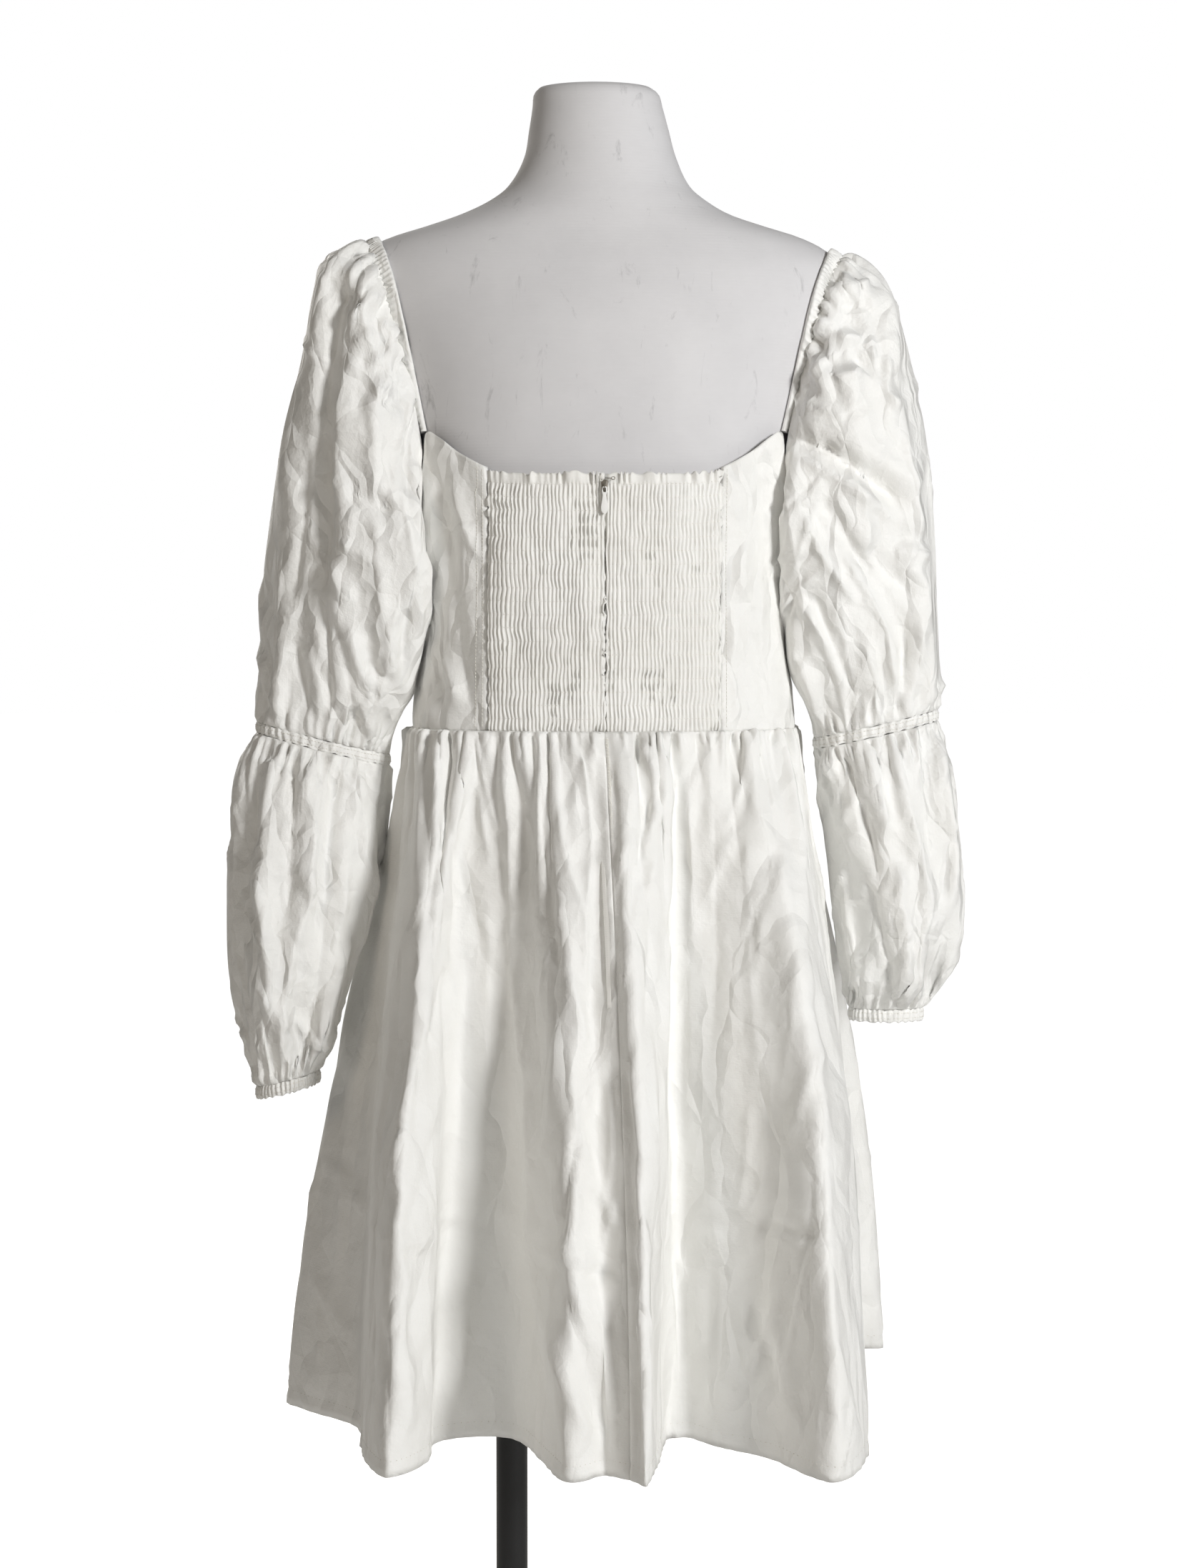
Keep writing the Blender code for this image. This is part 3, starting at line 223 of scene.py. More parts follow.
# Anticlockwise from above, from the left side seam by the centre back and the right side to the front
SKIRT_FOLDS = table(
    SkirtFold,
    (-0.2456, -0.023, -90),
    (-0.2330, -0.058, -84),
    (-0.1960, -0.100, -77.5),
    (-0.1850, -0.130, -73),
    (-0.1782, -0.202, -64),
    (-0.1569, -0.256, -53.5),
    (-0.1285, -0.211, -45.5),
    (-0.1230, -0.158, -38.5),
    (-0.0837, -0.142, -28.5),
    (-0.0586, -0.164, -22),
    (-0.0290, -0.262, -10),
    (-0.0010, -0.247, -4),
    (0.0170, -0.262, 0),
    (0.0300, -0.278, 4),
    (0.0400, -0.215, 11),
    (0.0520, -0.145, 19.5),
    (0.0865, -0.176, 28.5),
    (0.1217, -0.208, 38),
    (0.1637, -0.266, 52.5),
    (0.1940, -0.196, 65),
    (0.1900, -0.125, 75.5),
    (0.2020, -0.055, 86),
    (0.1880, 0.030, 97.5),
    (0.2120, 0.128, 109),
    (0.2356, 0.1475, 114),
    (0.2150, 0.187, 120),
    (0.1650, 0.165, 128.5),
    (0.1500, 0.232, 138),
    (0.1180, 0.240, 144),
    (0.0950, 0.185, 152.5),
    (0.0620, 0.260, 163),
    (0.0300, 0.256, 169),
    (0.0080, 0.195, 178),
    (-0.0250, 0.254, 188),
    (-0.0550, 0.258, 194.5),
    (-0.0850, 0.195, 204.5),
    (-0.1200, 0.245, 213.5),
    (-0.1500, 0.228, 220),
    (-0.1600, 0.165, 229.5),
    (-0.2150, 0.165, 238.5),
    (-0.2350, 0.115, 246.5),
    (-0.1900, 0.060, 257),
)
CENTRE_BACK_FOLD = 12
RIGHT_SIDE_FOLD = 21
SAMPLES_PER_FOLD = 8

CASING_ROUTE = table(
    CasingPoint,
    (0.1375, 0.000, False),
    (0.1450, 0.243, False),
    (0.1540, 0.517, False),
    (0.1625, 0.750, False),
    (0.1700, 0.895, False),
    (0.1755, 0.972, False),
    (0.1785, 1.000, False),
    (0.1755, 0.972, True),
    (0.1690, 0.880, True),
    (0.1570, 0.670, True),
    (0.1460, 0.380, True),
    (0.1380, 0.106, True),
    (0.1330, -0.113, True),
)

SLEEVE_STARTS = table(
    SleeveStart,
    ("bodice", 92, 0.020, 0.000, -0.10, 180),
    ("bodice", 77, 0.015, 0.060, -0.12, 150),
    ("bodice", 65, 0.008, 0.100, -0.12, 126),
    ("casing", 0.08, 0.020, 0.120, -0.08, 104),
    ("casing", 0.24, 0.070, 0.130, -0.04, 80),
    ("casing", 0.38, 0.130, 0.100, -0.02, 45),
    ("casing", 0.50, 0.170, 0.000, -0.02, 0),
    ("casing", 0.62, 0.130, -0.100, -0.02, -45),
    ("casing", 0.76, 0.080, -0.120, -0.04, -80),
    ("casing", 0.92, 0.050, -0.110, -0.06, -104),
    ("bodice", 120, 0.040, -0.090, -0.08, -126),
    ("bodice", 107, 0.030, -0.060, -0.10, -150),
)

LEFT_SLEEVE = table(
    SleeveRing,
    (0.984, 0.2197, 0.012, 0.0520, 0.034, 0.25),
    (0.955, 0.2260, 0.016, 0.0565, 0.043, 0.18),
    (0.905, 0.2310, 0.028, 0.0550, 0.045, 0.08),
    (0.850, 0.2385, 0.040, 0.0515, 0.044, 0.00),
    (0.800, 0.2425, 0.048, 0.0455, 0.040, -0.05),
    (0.757, 0.2432, 0.052, 0.0360, 0.034, -0.12),
    (0.722, 0.2445, 0.054, 0.0245, 0.024, -0.25),
)
RIGHT_SLEEVE = table(
    SleeveRing,
    (0.995, 0.2130, 0.010, 0.0485, 0.034, 0.23),
    (0.965, 0.2195, 0.014, 0.0495, 0.043, 0.15),
    (0.925, 0.2240, 0.018, 0.0500, 0.046, 0.08),
    (0.875, 0.2300, 0.020, 0.0485, 0.046, 0.02),
    (0.825, 0.2310, 0.020, 0.0430, 0.042, 0.00),
    (0.793, 0.2265, 0.018, 0.0355, 0.034, 0.00),
    (0.772, 0.2215, 0.016, 0.0290, 0.020, 0.00),
)
LEFT_PUFF = table(
    PuffRow,
    (0.00, 0.000, 0.000, 0.000),
    (0.12, 0.016, 0.002, 0.002),
    (0.22, 0.009, 0.006, 0.005),
    (0.35, 0.003, 0.012, 0.012),
    (0.50, 0.003, 0.018, 0.022),
    (0.80, 0.002, 0.015, 0.024),
    (1.00, 0.000, 0.000, 0.000),
)
RIGHT_PUFF = table(
    PuffRow,
    (0.00, 0.000, 0.000, 0.000),
    (0.10, 0.005, 0.002, 0.002),
    (0.22, 0.009, 0.005, 0.006),
    (0.35, 0.012, 0.009, 0.014),
    (0.55, 0.014, 0.013, 0.022),
    (0.80, 0.008, 0.011, 0.024),
    (1.00, 0.000, 0.000, 0.000),
)


# Numbers and grids


def mix(start: Any, end: Any, share: Any) -> Any:
    """The value a share of the way from start to end."""
    return start + (end - start) * share


def smooth_step(share: Any) -> Any:
    """A soft step from 0 to 1."""
    share = np.clip(share, 0.0, 1.0)
    return share * share * (3.0 - 2.0 * share)


def signed_power(value: Any, power: float) -> Any:
    """The power of a value's size, with the value's sign."""
    return np.sign(value) * np.abs(value) ** power


def eased(share: Array, start: Any, leave: Any, end: Any, arrive: Any, span: Any = 1.0) -> Array:
    """The cubic from start to end that leaves and arrives at these slopes."""
    square, cube = share**2, share**3
    return (
        (2 * cube - 3 * square + 1) * start
        + (cube - 2 * square + share) * leave * span
        + (3 * square - 2 * cube) * end
        + (cube - square) * arrive * span
    )


def column(rows: Sequence[Any], key: str, value: Any, along: str) -> Array:
    """Reads one named column of a table at values of another, on a smooth curve through its rows."""
    places = np.array([getattr(row, along) for row in rows], float)
    heights = np.array([getattr(row, key) for row in rows], float)
    last = len(rows) - 1
    low = np.maximum(np.arange(last + 1) - 1, 0)
    high = np.minimum(np.arange(last + 1) + 1, last)
    slopes = (heights[high] - heights[low]) / (places[high] - places[low])
    value = np.clip(np.asarray(value, float), places[0], places[-1])
    at = np.clip(np.searchsorted(places, value, side="right") - 1, 0, last - 1)
    span = places[at + 1] - places[at]
    share = (value - places[at]) / span
    return eased(share, heights[at], slopes[at], heights[at + 1], slopes[at + 1], span)


def through(points: Array, place: Any, closed: bool = False) -> Array:
    """Points of the smooth curve through a list of points, where whole places are the listed ones."""
    count = len(points)
    at = np.floor(np.asarray(place, float)).astype(int)
    share = (place - at)[..., None]

    def pick(i: Array) -> Array:
        """The listed points at these places."""
        return points[i % count if closed else np.clip(i, 0, count - 1)]

    before, start, end, after = (pick(at + i) for i in (-1, 0, 1, 2))
    return 0.5 * (
        2 * start
        + (end - before) * share
        + (2 * before - 5 * start + 4 * end - after) * share**2
        + (3 * start - before - 3 * end + after) * share**3
    )


def stacked(*parts: Any) -> Array:
    """Arrays of x, y and z as one array of points."""
    return np.stack(np.broadcast_arrays(*parts), axis=-1).astype(float)


def unit(vectors: Array) -> Array:
    """Vectors at length 1."""
    return vectors / np.maximum(np.linalg.norm(vectors, axis=-1, keepdims=True), 1e-12)


def soft_field(rng: np.random.Generator, shape: tuple[int, int], cells: tuple[int, int], wrap: bool) -> Array:
    """A smooth random field from about -1 to 1 over a grid."""
    values = rng.uniform(-1, 1, (cells[0] + 3, cells[1] + 3))
    if wrap:
        values[:, -3:] = values[:, :3]
    down = np.linspace(1, cells[0] + 1 - 1e-6, shape[0])
    over = np.linspace(1, cells[1] + 1 - 1e-6, shape[1] + wrap)[: shape[1]]
    rows = through(values, down)
    return through(rows.T, over).T


def mirrored(share: Array, side: int) -> Array:
    """Shares across, counted from the other side on the left."""
    return share if side > 0 else 1 - share


def nearest_row(reach: Array, distance: float) -> int:
    """The row whose mean reach is nearest to a distance."""
    return int(np.argmin(np.abs(reach.mean(axis=1) - distance)))


def grid(columns: int, rows: int | Array, closed: bool) -> tuple[Array, Array]:
    """Shares across and down for a grid of points."""
    across = np.arange(columns + (not closed)) / columns
    down = np.linspace(0, 1, rows + 1) if isinstance(rows, int) else rows
    return np.meshgrid(across, down)


# The body's surfaces


def oval(half_width: Any, back: Any, front: Any, square: Any, turn: Any) -> tuple[Array, Array]:
    """X and Y of a section that is an oval, or squarer where square is over 2; turn is in radians."""
    across, along = np.sin(turn), np.cos(turn)
    depth = np.where(along > 0, back, front)
    return half_width * signed_power(across, 2 / square), -depth * signed_power(along, 2 / square)


def form_row(height: Any) -> list[Array]:
    """Half width, back, front, square and shift of the form at a height."""
    return [column(FORM_SECTIONS, key, height, "height") for key in FormSection._fields[1:]]


def form_level(points: Array) -> Array:
    """Under 1 inside the form's side, 1 on it and over 1 outside."""
    half_width, back, front, square, shift = form_row(points[..., 2])
    depth = np.where(points[..., 1] > 0, front, back)
    across = np.abs(points[..., 0] - shift) / half_width
    return (across**square + (np.abs(points[..., 1]) / depth) ** square) ** (1 / square)


def form_normal(points: Array, step: float = 0.0005) -> Array:
    """The directions straight out of the form's side."""
    slopes = [form_level(points + axis) - form_level(points - axis) for axis in np.eye(3) * step]
    return unit(np.stack(slopes, axis=-1))


def form_side_point(x: float, height: float, front: bool) -> Array:
    """The point of the form's back or front face at this x and height."""
    half_width, back, front_depth, square, shift = form_row(height)
    inside = max(1 - (abs(x - shift) / half_width) ** square, 0.0) ** (1 / square)
    return np.array([x, front_depth * inside if front else -back * inside, height])


def ridge_height(x: float) -> float:
    """The height of the shoulder's ridge, where the form is no wider than this x."""
    low, high = FORM_SECTIONS[SHOULDER_FOOT].height, FORM_SECTIONS[-1].height
    for _ in range(30):
        middle = (low + high) / 2
        half_width, _, _, _, shift = form_row(middle)
        low, high = (middle, high) if abs(x - shift) < half_width else (low, middle)
    return low


def bodice_point(turn: Any, height: Any) -> Array:
    """Points of the bodice's outer face; turn is in degrees."""
    half_width, back, front = (column(BODICE_SECTIONS, key, height, "height") for key in BodiceSection._fields[1:])
    x, y = oval(half_width, back, front, BODICE_SQUARE, np.radians(turn))
    return stacked(x, y, height)


def bodice_turn(x: Any, height: Any) -> Array:
    """The turn in degrees at which the bodice's back lies at this x."""
    half_width = column(BODICE_SECTIONS, "half_width", height, "height")
    return np.degrees(np.arcsin(signed_power(x / half_width, BODICE_SQUARE / 2)))


def bodice_edge(turn: Any) -> Array:
    """The height of the bodice's upper edge at a turn in degrees."""
    return column(BODICE_EDGE, "height", np.abs((turn + 180) % 360 - 180), "turn")


# Camera, and what it sees of a grid


@dataclass(frozen=True)
class PhotoView:
    """Where the photograph was taken from. Its size is used at 1100 by 1465 pixels."""

    place: tuple[float, float, float] = (-0.012, -2.5, 1.09)
    pitch_down: float = 3.18
    lens: float = 73.02
    sensor: float = 36.0
    across: float = 1100.2
    tall: float = 1465.6

    def project(self, points: Array) -> tuple[Array, Array, Array]:
        """Where points fall in the photograph."""
        pitch = math.radians(self.pitch_down)
        ahead = np.array([0.0, math.cos(pitch), -math.sin(pitch)])
        above = np.array([0.0, math.sin(pitch), math.cos(pitch)])
        away = points - np.array(self.place)
        focal = self.tall * self.lens / self.sensor
        depth = away @ ahead
        right = self.across / 2 + focal * away[..., 0] / depth
        down = self.tall / 2 - focal * (away @ above) / depth
        return right, down, unit(away)

    def make_camera(self) -> None:
        """The scene's camera."""
        data = bpy.data.cameras.new("photo_camera")
        data.lens = self.lens
        data.sensor_width = self.sensor
        data.clip_start, data.clip_end = 0.05, 60.0
        camera = linked("photo_camera", data)
        camera.location = self.place
        camera.rotation_euler = (math.radians(90 - self.pitch_down), 0.0, 0.0)
        bpy.context.scene.camera = camera


VIEW = PhotoView()


class Crease(NamedTuple):
    """A crease seen in the photograph, in pixels of PhotoView: a ridge, or a trough where height is under 0.

    height is in millimetres, width is the half width in pixels and bend is how far its middle bows.
    """

    x0: float
    y0: float
    x1: float
    y1: float
    width: float
    height: float
    bend: float = 0.0


class Crumple(NamedTuple):
    """Creases at seeded random places: how many, and the ranges of their sizes in millimetres.

    lean is the mean angle from straight down in degrees, and spread how far it strays.
    """

    count: int
    length: tuple[float, float]
    width: tuple[float, float]
    height: tuple[float, float]
    lean: float
    spread: float


def crease_profile(side: Array) -> Array:
    """The height across a crease: a ridge, and the shallow trough that cloth makes along one side of it."""
    return np.exp(-(np.abs(side) ** 1.4)) - 0.42 * np.exp(-(((side - 2.1) / 1.4) ** 2))


# Materials


def colour(code: str) -> tuple[float, float, float, float]:
    """An sRGB hex colour as linear red, green, blue and alpha."""
    parts = [int(code.lstrip("#")[i : i + 2], 16) / 255 for i in (0, 2, 4)]
    return (*[p / 12.92 if p <= 0.04045 else ((p + 0.055) / 1.055) ** 2.4 for p in parts], 1.0)


def add_node(tree: bpy.types.NodeTree, kind: str, inputs: dict | None = None, **settings: Any) -> bpy.types.Node:
    """Adds a node; an input that is another node's output is linked, any other is set."""
    node = tree.nodes.new(kind)
    for name, value in settings.items():
        setattr(node, name, value)
    for key, value in (inputs or {}).items():
        if isinstance(value, Socket):
            tree.links.new(value, node.inputs[key])
        else:
            node.inputs[key].default_value = value
    return node


class Finish:
    """A material in the making, with its textures laid in the piece's own space."""

    def __init__(self, name: str) -> None:
        """Starts from a plain Principled shader."""
        self.material = bpy.data.materials.new(name)
        self.material.use_nodes = True
        self.tree = self.material.node_tree
        place = add_node(self.tree, "ShaderNodeTexCoord")
        self.space, self.flat = place.outputs["Object"], place.outputs["UV"]

    def node(self, kind: str, out: str | int, inputs: dict | None = None, **settings: Any) -> Socket:
        """Adds a node and gives one of its outputs."""
        return add_node(self.tree, f"ShaderNode{kind}", inputs, **settings).outputs[out]

    def noise(self, scale: float, detail: float, out: str = "Fac", **more: Any) -> Socket:
        """Adds soft cloudy noise."""
        return self.node("TexNoise", out, {"Vector": self.space, "Scale": scale, "Detail": detail, **more})

    def wave(self, where: Socket, scale: float, bands: str, **more: float) -> Socket:
        """Adds even bands across a direction."""
        return self.node("TexWave", "Fac", {"Vector": where, "Scale": scale, **more}, bands_direction=bands)

    def blend(self, share: Socket, low: Any, high: Any) -> Socket:
        """Goes from one colour to another."""
        ends = [colour(end) if isinstance(end, str) else end for end in (low, high)]
        return self.node("Mix", 2, {0: share, 6: ends[0], 7: ends[1]}, data_type="RGBA")

    def spread(self, value: Socket, low: float, high: float, **more: float) -> Socket:
        """Spreads a value from low to high; more holds the ends it is taken from."""
        ends = {key.replace("_", " "): end for key, end in more.items()}
        return self.node("MapRange", "Result", {"Value": value, "To Min": low, "To Max": high, **ends})

    def bump(self, height: Socket, strength: float, distance: float, under: Socket | None = None) -> Socket:
        """Bends the normal by heights, over another bump where one is given."""
        below = {"Normal": under} if under else {}
        return self.node("Bump", "Normal", {"Height": height, "Strength": strength, "Distance": distance, **below})

    def done(self, **inputs: Any) -> Material:
        """Fills the shader's inputs, whose names have underscores here, and gives the material."""
        shader = self.tree.nodes["Principled BSDF"]
        for name, value in inputs.items():
            socket = shader.inputs[name.replace("_", " ")]
            if isinstance(value, Socket):
                self.tree.links.new(value, socket)
            else:
                socket.default_value = value
        return self.material


@dataclass(frozen=True)
class WovenCotton:
    """Crisp plain-woven cotton, bleached and slightly calendered.

    To the eye: a bright, faintly warm white with a soft low lustre on its ridges, a fine thread grain, and
    small crush marks that a fold or a packet leaves.
    """

    name: str
    light: str = "#F7F7F5"
    dark: str = "#EDECE8"
    roughness: float = 0.58
    facet_mm: float = 46.0
    facet_long: float = 2.4
    facet: float = 3.0
    # Real threads are 0.25 mm wide; drawn 0.9 mm wide so that the grain shows
    thread_mm: float = 0.9
    weave: float = 0.10
    crush_mm: float = 26.0
    crush: float = 0.85

    def make(self) -> Material:
        """Builds the material."""
        finish = Finish(self.name)
        # The UV map is in metres: across the cloth and down it
        waves = {i: finish.wave(finish.flat, WAVE / self.thread_mm, "XY"[i], Distortion=0.4) for i in (0, 1)}
        threads = finish.node("Math", 0, waves, operation="MULTIPLY")
        crush = finish.noise(1000 / self.crush_mm, 5.0, Roughness=0.55)
        # Creases of a packet and of wear, longer down the cloth than across it
        bend = {0: finish.noise(9.0, 3.0, "Color"), 1: (0.09, 0.09, 0.09), 2: finish.space}
        bent = finish.node("VectorMath", 0, bend, operation="MULTIPLY_ADD")
        heights = crush
        for size, kind in ((self.facet_mm, "F1"), (self.facet_mm * 0.6, "DISTANCE_TO_EDGE")):
            scale = (1000 / size, 1000 / size, 1000 / size / self.facet_long)
            where = finish.node("Mapping", 0, {"Vector": bent, "Scale": scale})
            cells = finish.node("TexVoronoi", "Distance", {"Vector": where, "Scale": 1.0}, feature=kind)
            heights = finish.node("Math", 0, {0: cells, 1: 0.8 * self.facet, 2: heights}, operation="MULTIPLY_ADD")
        crumpled = finish.bump(heights, self.crush, 0.004)
        return finish.done(
            Normal=finish.bump(threads, self.weave, 0.0003, crumpled),
            Base_Color=finish.blend(finish.noise(14.0, 4.0), self.dark, self.light),
            Roughness=finish.spread(crush, self.roughness - 0.08, self.roughness + 0.10),
            Sheen_Weight=0.12,
            Sheen_Roughness=0.4,
            IOR=1.45,
        )


@dataclass(frozen=True)
class FormJersey:
    """White knitted jersey drawn over a padded form, greyed by handling.

    To the eye: a matt light grey with cloudy scuffs, a few darker rubbed marks and a fine knitted grain.
    """

    name: str = "knitted_jersey"
    light: str = "#E4E3E4"
    dark: str = "#CCCBCD"
    mark: str = "#9B9A9C"
    # Real courses are 0.6 mm high; drawn 1.2 mm high so that the grain shows
    course_mm: float = 1.2

    def make(self) -> Material:
        """Builds the material."""
        finish = Finish(self.name)
        cloud = finish.noise(11.0, 6.0, Roughness=0.6)
        drawn_out = finish.node("Mapping", 0, {"Vector": finish.space, "Scale": (70.0, 70.0, 20.0)})
        scuff = finish.noise(1.0, 7.0, Vector=drawn_out, Roughness=0.7, Distortion=0.8)
        rubbed = finish.spread(scuff, 0.0, 0.75, From_Min=0.60, From_Max=0.78)
        knit = finish.wave(finish.space, WAVE / self.course_mm, "Z", Distortion=1.5, Detail=1.0)
        return finish.done(
            Base_Color=finish.blend(rubbed, finish.blend(cloud, self.dark, self.light), self.mark),
            Normal=finish.bump(knit, 0.10, 0.0003, finish.bump(cloud, 0.12, 0.004)),
            Roughness=0.86,
            Sheen_Weight=0.15,
        )


@dataclass(frozen=True)
class Enamel:
    """Stoved enamel or moulded nylon: one colour under a smooth skin with a faint orange peel.

    To the eye: an even colour, a soft highlight and slight ripples in it, duller where it was handled.
    """

    name: str
    main: str
    worn: str
    roughness: float
    metallic: float = 0.0
    peel_mm: float = 2.5

    def make(self) -> Material:
        """Builds the material."""
        finish = Finish(self.name)
        cloud = finish.noise(30.0, 5.0)
        return finish.done(
            Base_Color=finish.blend(cloud, self.main, self.worn),
            Roughness=finish.spread(cloud, self.roughness - 0.06, self.roughness + 0.12),
            Normal=finish.bump(finish.noise(1000 / self.peel_mm, 2.0), 0.06, 0.0003),
            Metallic=self.metallic,
        )


@dataclass(frozen=True)
class TwistedThread:
    """Spun cotton sewing thread or covered elastic.

    To the eye: a warm white with the slanting bands of its twist and a slight fuzz.
    """

    name: str
    light: str = "#F5F3EE"
    dark: str = "#DAD6CC"

    def make(self) -> Material:
        """Builds the material."""
        finish = Finish(self.name)
        twist = finish.wave(finish.space, 260.0, "DIAGONAL", Distortion=2.0)
        return finish.done(Base_Color=finish.blend(twist, self.dark, self.light), Roughness=0.8, Sheen_Weight=0.2)


class Wardrobe:
    """Every material of the part, made once."""

    def __init__(self) -> None:
        """Makes them."""
        self.cotton = WovenCotton("bleached_plain_cotton").make()
        self.skirt = WovenCotton("smoother_plain_cotton", facet_mm=78.0, facet=3.8, crush=0.66).make()
        shirred = {"dark": "#E4E2DC", "crush": 0.12, "crush_mm": 14.0, "roughness": 0.62}
        self.shirring = WovenCotton("shirred_plain_cotton", **shirred).make()
        tape = {"light": "#EEEDE9", "dark": "#E2E0DA", "crush": 0.03, "roughness": 0.5, "weave": 0.2}
        self.tape = WovenCotton("polyester_zip_tape", **tape).make()
        self.jersey = FormJersey().make()
        self.black = Enamel("stoved_black_enamel", "#0C0C0D", "#1A1A1B", 0.34).make()
        self.pull = Enamel("white_enamelled_zinc", "#FBFBF9", "#EFEEEA", 0.26).make()
        self.slider = Enamel("worn_enamelled_zinc", "#8F887C", "#625C52", 0.38, 0.3).make()
        self.coil = Enamel("moulded_nylon_coil", "#EDEBE5", "#DEDBD2", 0.42).make()
        self.wire = Enamel("bronzed_steel_wire", "#6E665A", "#8A8173", 0.35, 0.9).make()
        self.thread = TwistedThread("spun_cotton_thread").make()


# Cloth pieces


@dataclass
class Cloth:
    """A cloth piece as a grid of points, whose relief is added before its mesh is made."""

    name: str
    points: Array
    closed: bool = False
    seed: int = 1

    def __post_init__(self) -> None:
        """Seeds the piece's own random numbers."""
        self.rng = np.random.default_rng(self.seed)

    @property
    def shape(self) -> tuple[int, int]:
        """Rows and columns of points."""
        return self.points.shape[:2]

    def normals(self) -> Array:
        """The outward directions."""
        if self.closed:
            over = np.roll(self.points, -1, axis=1) - np.roll(self.points, 1, axis=1)
        else:
            over = np.gradient(self.points, axis=1)
        return unit(np.cross(np.gradient(self.points, axis=0), over))

    def above(self, height: float) -> Array:
        """The points this far above the cloth."""
        return self.points + self.normals() * height

    def lift(self, amount: Array) -> None:
        """Moves the points outwards by these amounts."""
        self.points = self.points + self.normals() * amount[..., None]

    def swell(self, cells: tuple[int, int], height: float, calm: Array | float = 1.0) -> None:
        """Adds soft random swells of this height."""
        self.lift(soft_field(self.rng, self.shape, cells, self.closed) * height * calm)

    def press_creases(self, creases: Sequence[Crease], calm: Array | float = 1.0) -> None:
        """Adds creases that are placed by the photograph, on the side that faces it."""
        right, down, sight = VIEW.project(self.points)
        facing = smooth_step(-np.sum(self.normals() * sight, axis=-1) * 3.0 + 0.1)
        total = np.zeros(self.shape)
        for row in creases:
            start, end = np.array([row.x0, row.y0]), np.array([row.x1, row.y1])
            length = float(np.linalg.norm(end - start))
            along = (end - start) / length
            share = ((right - start[0]) * along[0] + (down - start[1]) * along[1]) / length
            side = (right - start[0]) * along[1] - (down - start[1]) * along[0]
            side = side - row.bend * np.clip(1 - (2 * share - 1) ** 2, 0, 1)
            taper = smooth_step(share * 4 + 0.35) * smooth_step((1 - share) * 4 + 0.35)
            total += row.height * CREASE_RELIEF * taper * crease_profile(side / max(row.width, CREASE_WIDTH))
        self.lift(total * facing * calm)

    def crumple(self, plan: Crumple, calm: Array | float = 1.0) -> None:
        """Adds creases at random places."""
        normals = self.normals()
        total = np.zeros(self.shape)
        for _ in range(plan.count):
            row = self.rng.integers(0, self.shape[0])
            col = self.rng.integers(0, self.shape[1])
            centre, out = self.points[row, col], normals[row, col]
            lean = math.radians(plan.lean + self.rng.uniform(-1, 1) * plan.spread)
            flat = unit(np.cross(out, np.array([0.0, 0.0, 1.0])))
            fall = np.cross(out, flat)
            along = fall * math.cos(lean) + flat * math.sin(lean)
            over = np.cross(out, along)
            half = self.rng.uniform(*plan.length) * HALF_MM
            width = self.rng.uniform(*plan.width) * HALF_MM
            height = self.rng.uniform(*plan.height) * 1e-3 * self.rng.choice([-1, 1], p=[0.4, 0.6])
            bow = self.rng.uniform(-0.25, 0.25)
            away = self.points - centre
            share = away @ along / half
            side = (away @ over - bow * half * share**2) / width
            near = np.exp(-((away @ out / 0.03) ** 2)) * np.clip(1 - share**2, 0, 1) ** 2
            total += height * near * crease_profile(side)
        self.lift(total * calm)

    def gather(
        self,
        across: Array,
        reach: Array,
        count: int,
        height: float,
        fade: tuple[float, float],
        calm: Array | float = 1.0,
        pinch: float = 0.0,
    ) -> None:
        """Adds gathers that run from an edge, each with its own place, height and length."""
        total = np.zeros(self.shape)
        for i in range(count):
            centre = (i + 0.5 + self.rng.uniform(-0.33, 0.33)) / count
            tall = height * self.rng.uniform(0.45, 1.5)
            long = self.rng.uniform(*fade)
            wide = self.rng.uniform(0.20, 0.42) / count
            drift = self.rng.uniform(-0.5, 0.5) / count
            side = across - centre - drift * np.clip(reach / long, 0, 1)
            if self.closed:
                side = (side + 0.5) % 1.0 - 0.5
            wider = wide * (1 + 0.9 * np.clip(reach / long, 0, 1))
            fading = np.clip(1 - reach / long, 0, 1) ** 1.4
            valley = np.abs(side - wider * 1.7) / (wider * 0.55)
            total += tall * fading * (np.exp(-((side / wider) ** 2)) - 0.75 * np.exp(-(valley**1.3)))
        total -= height * 0.25 * np.clip(1 - reach / fade[1], 0, 1) ** 2
        if pinch:
            total = total * smooth_step(reach / pinch + 0.15)
        self.lift(total * calm)

    def reach_from_top(self) -> Array:
        """The distance of each point from the upper edge, down its column."""
        steps = np.linalg.norm(np.diff(self.points, axis=0), axis=-1)
        return np.vstack([np.zeros(self.shape[1]), np.cumsum(steps, axis=0)])

    def reach_from_bottom(self) -> Array:
        """The distance of each point from the lower edge, up its column."""
        down = self.reach_from_top()
        return down[-1:] - down

    def reach_from_sides(self) -> tuple[Array, Array]:
        """The distances of each point from the left and the right edge, along its row."""
        steps = np.linalg.norm(np.diff(self.points, axis=1), axis=-1)
        over = np.hstack([np.zeros((self.shape[0], 1)), np.cumsum(steps, axis=1)])
        return over, over[:, -1:] - over

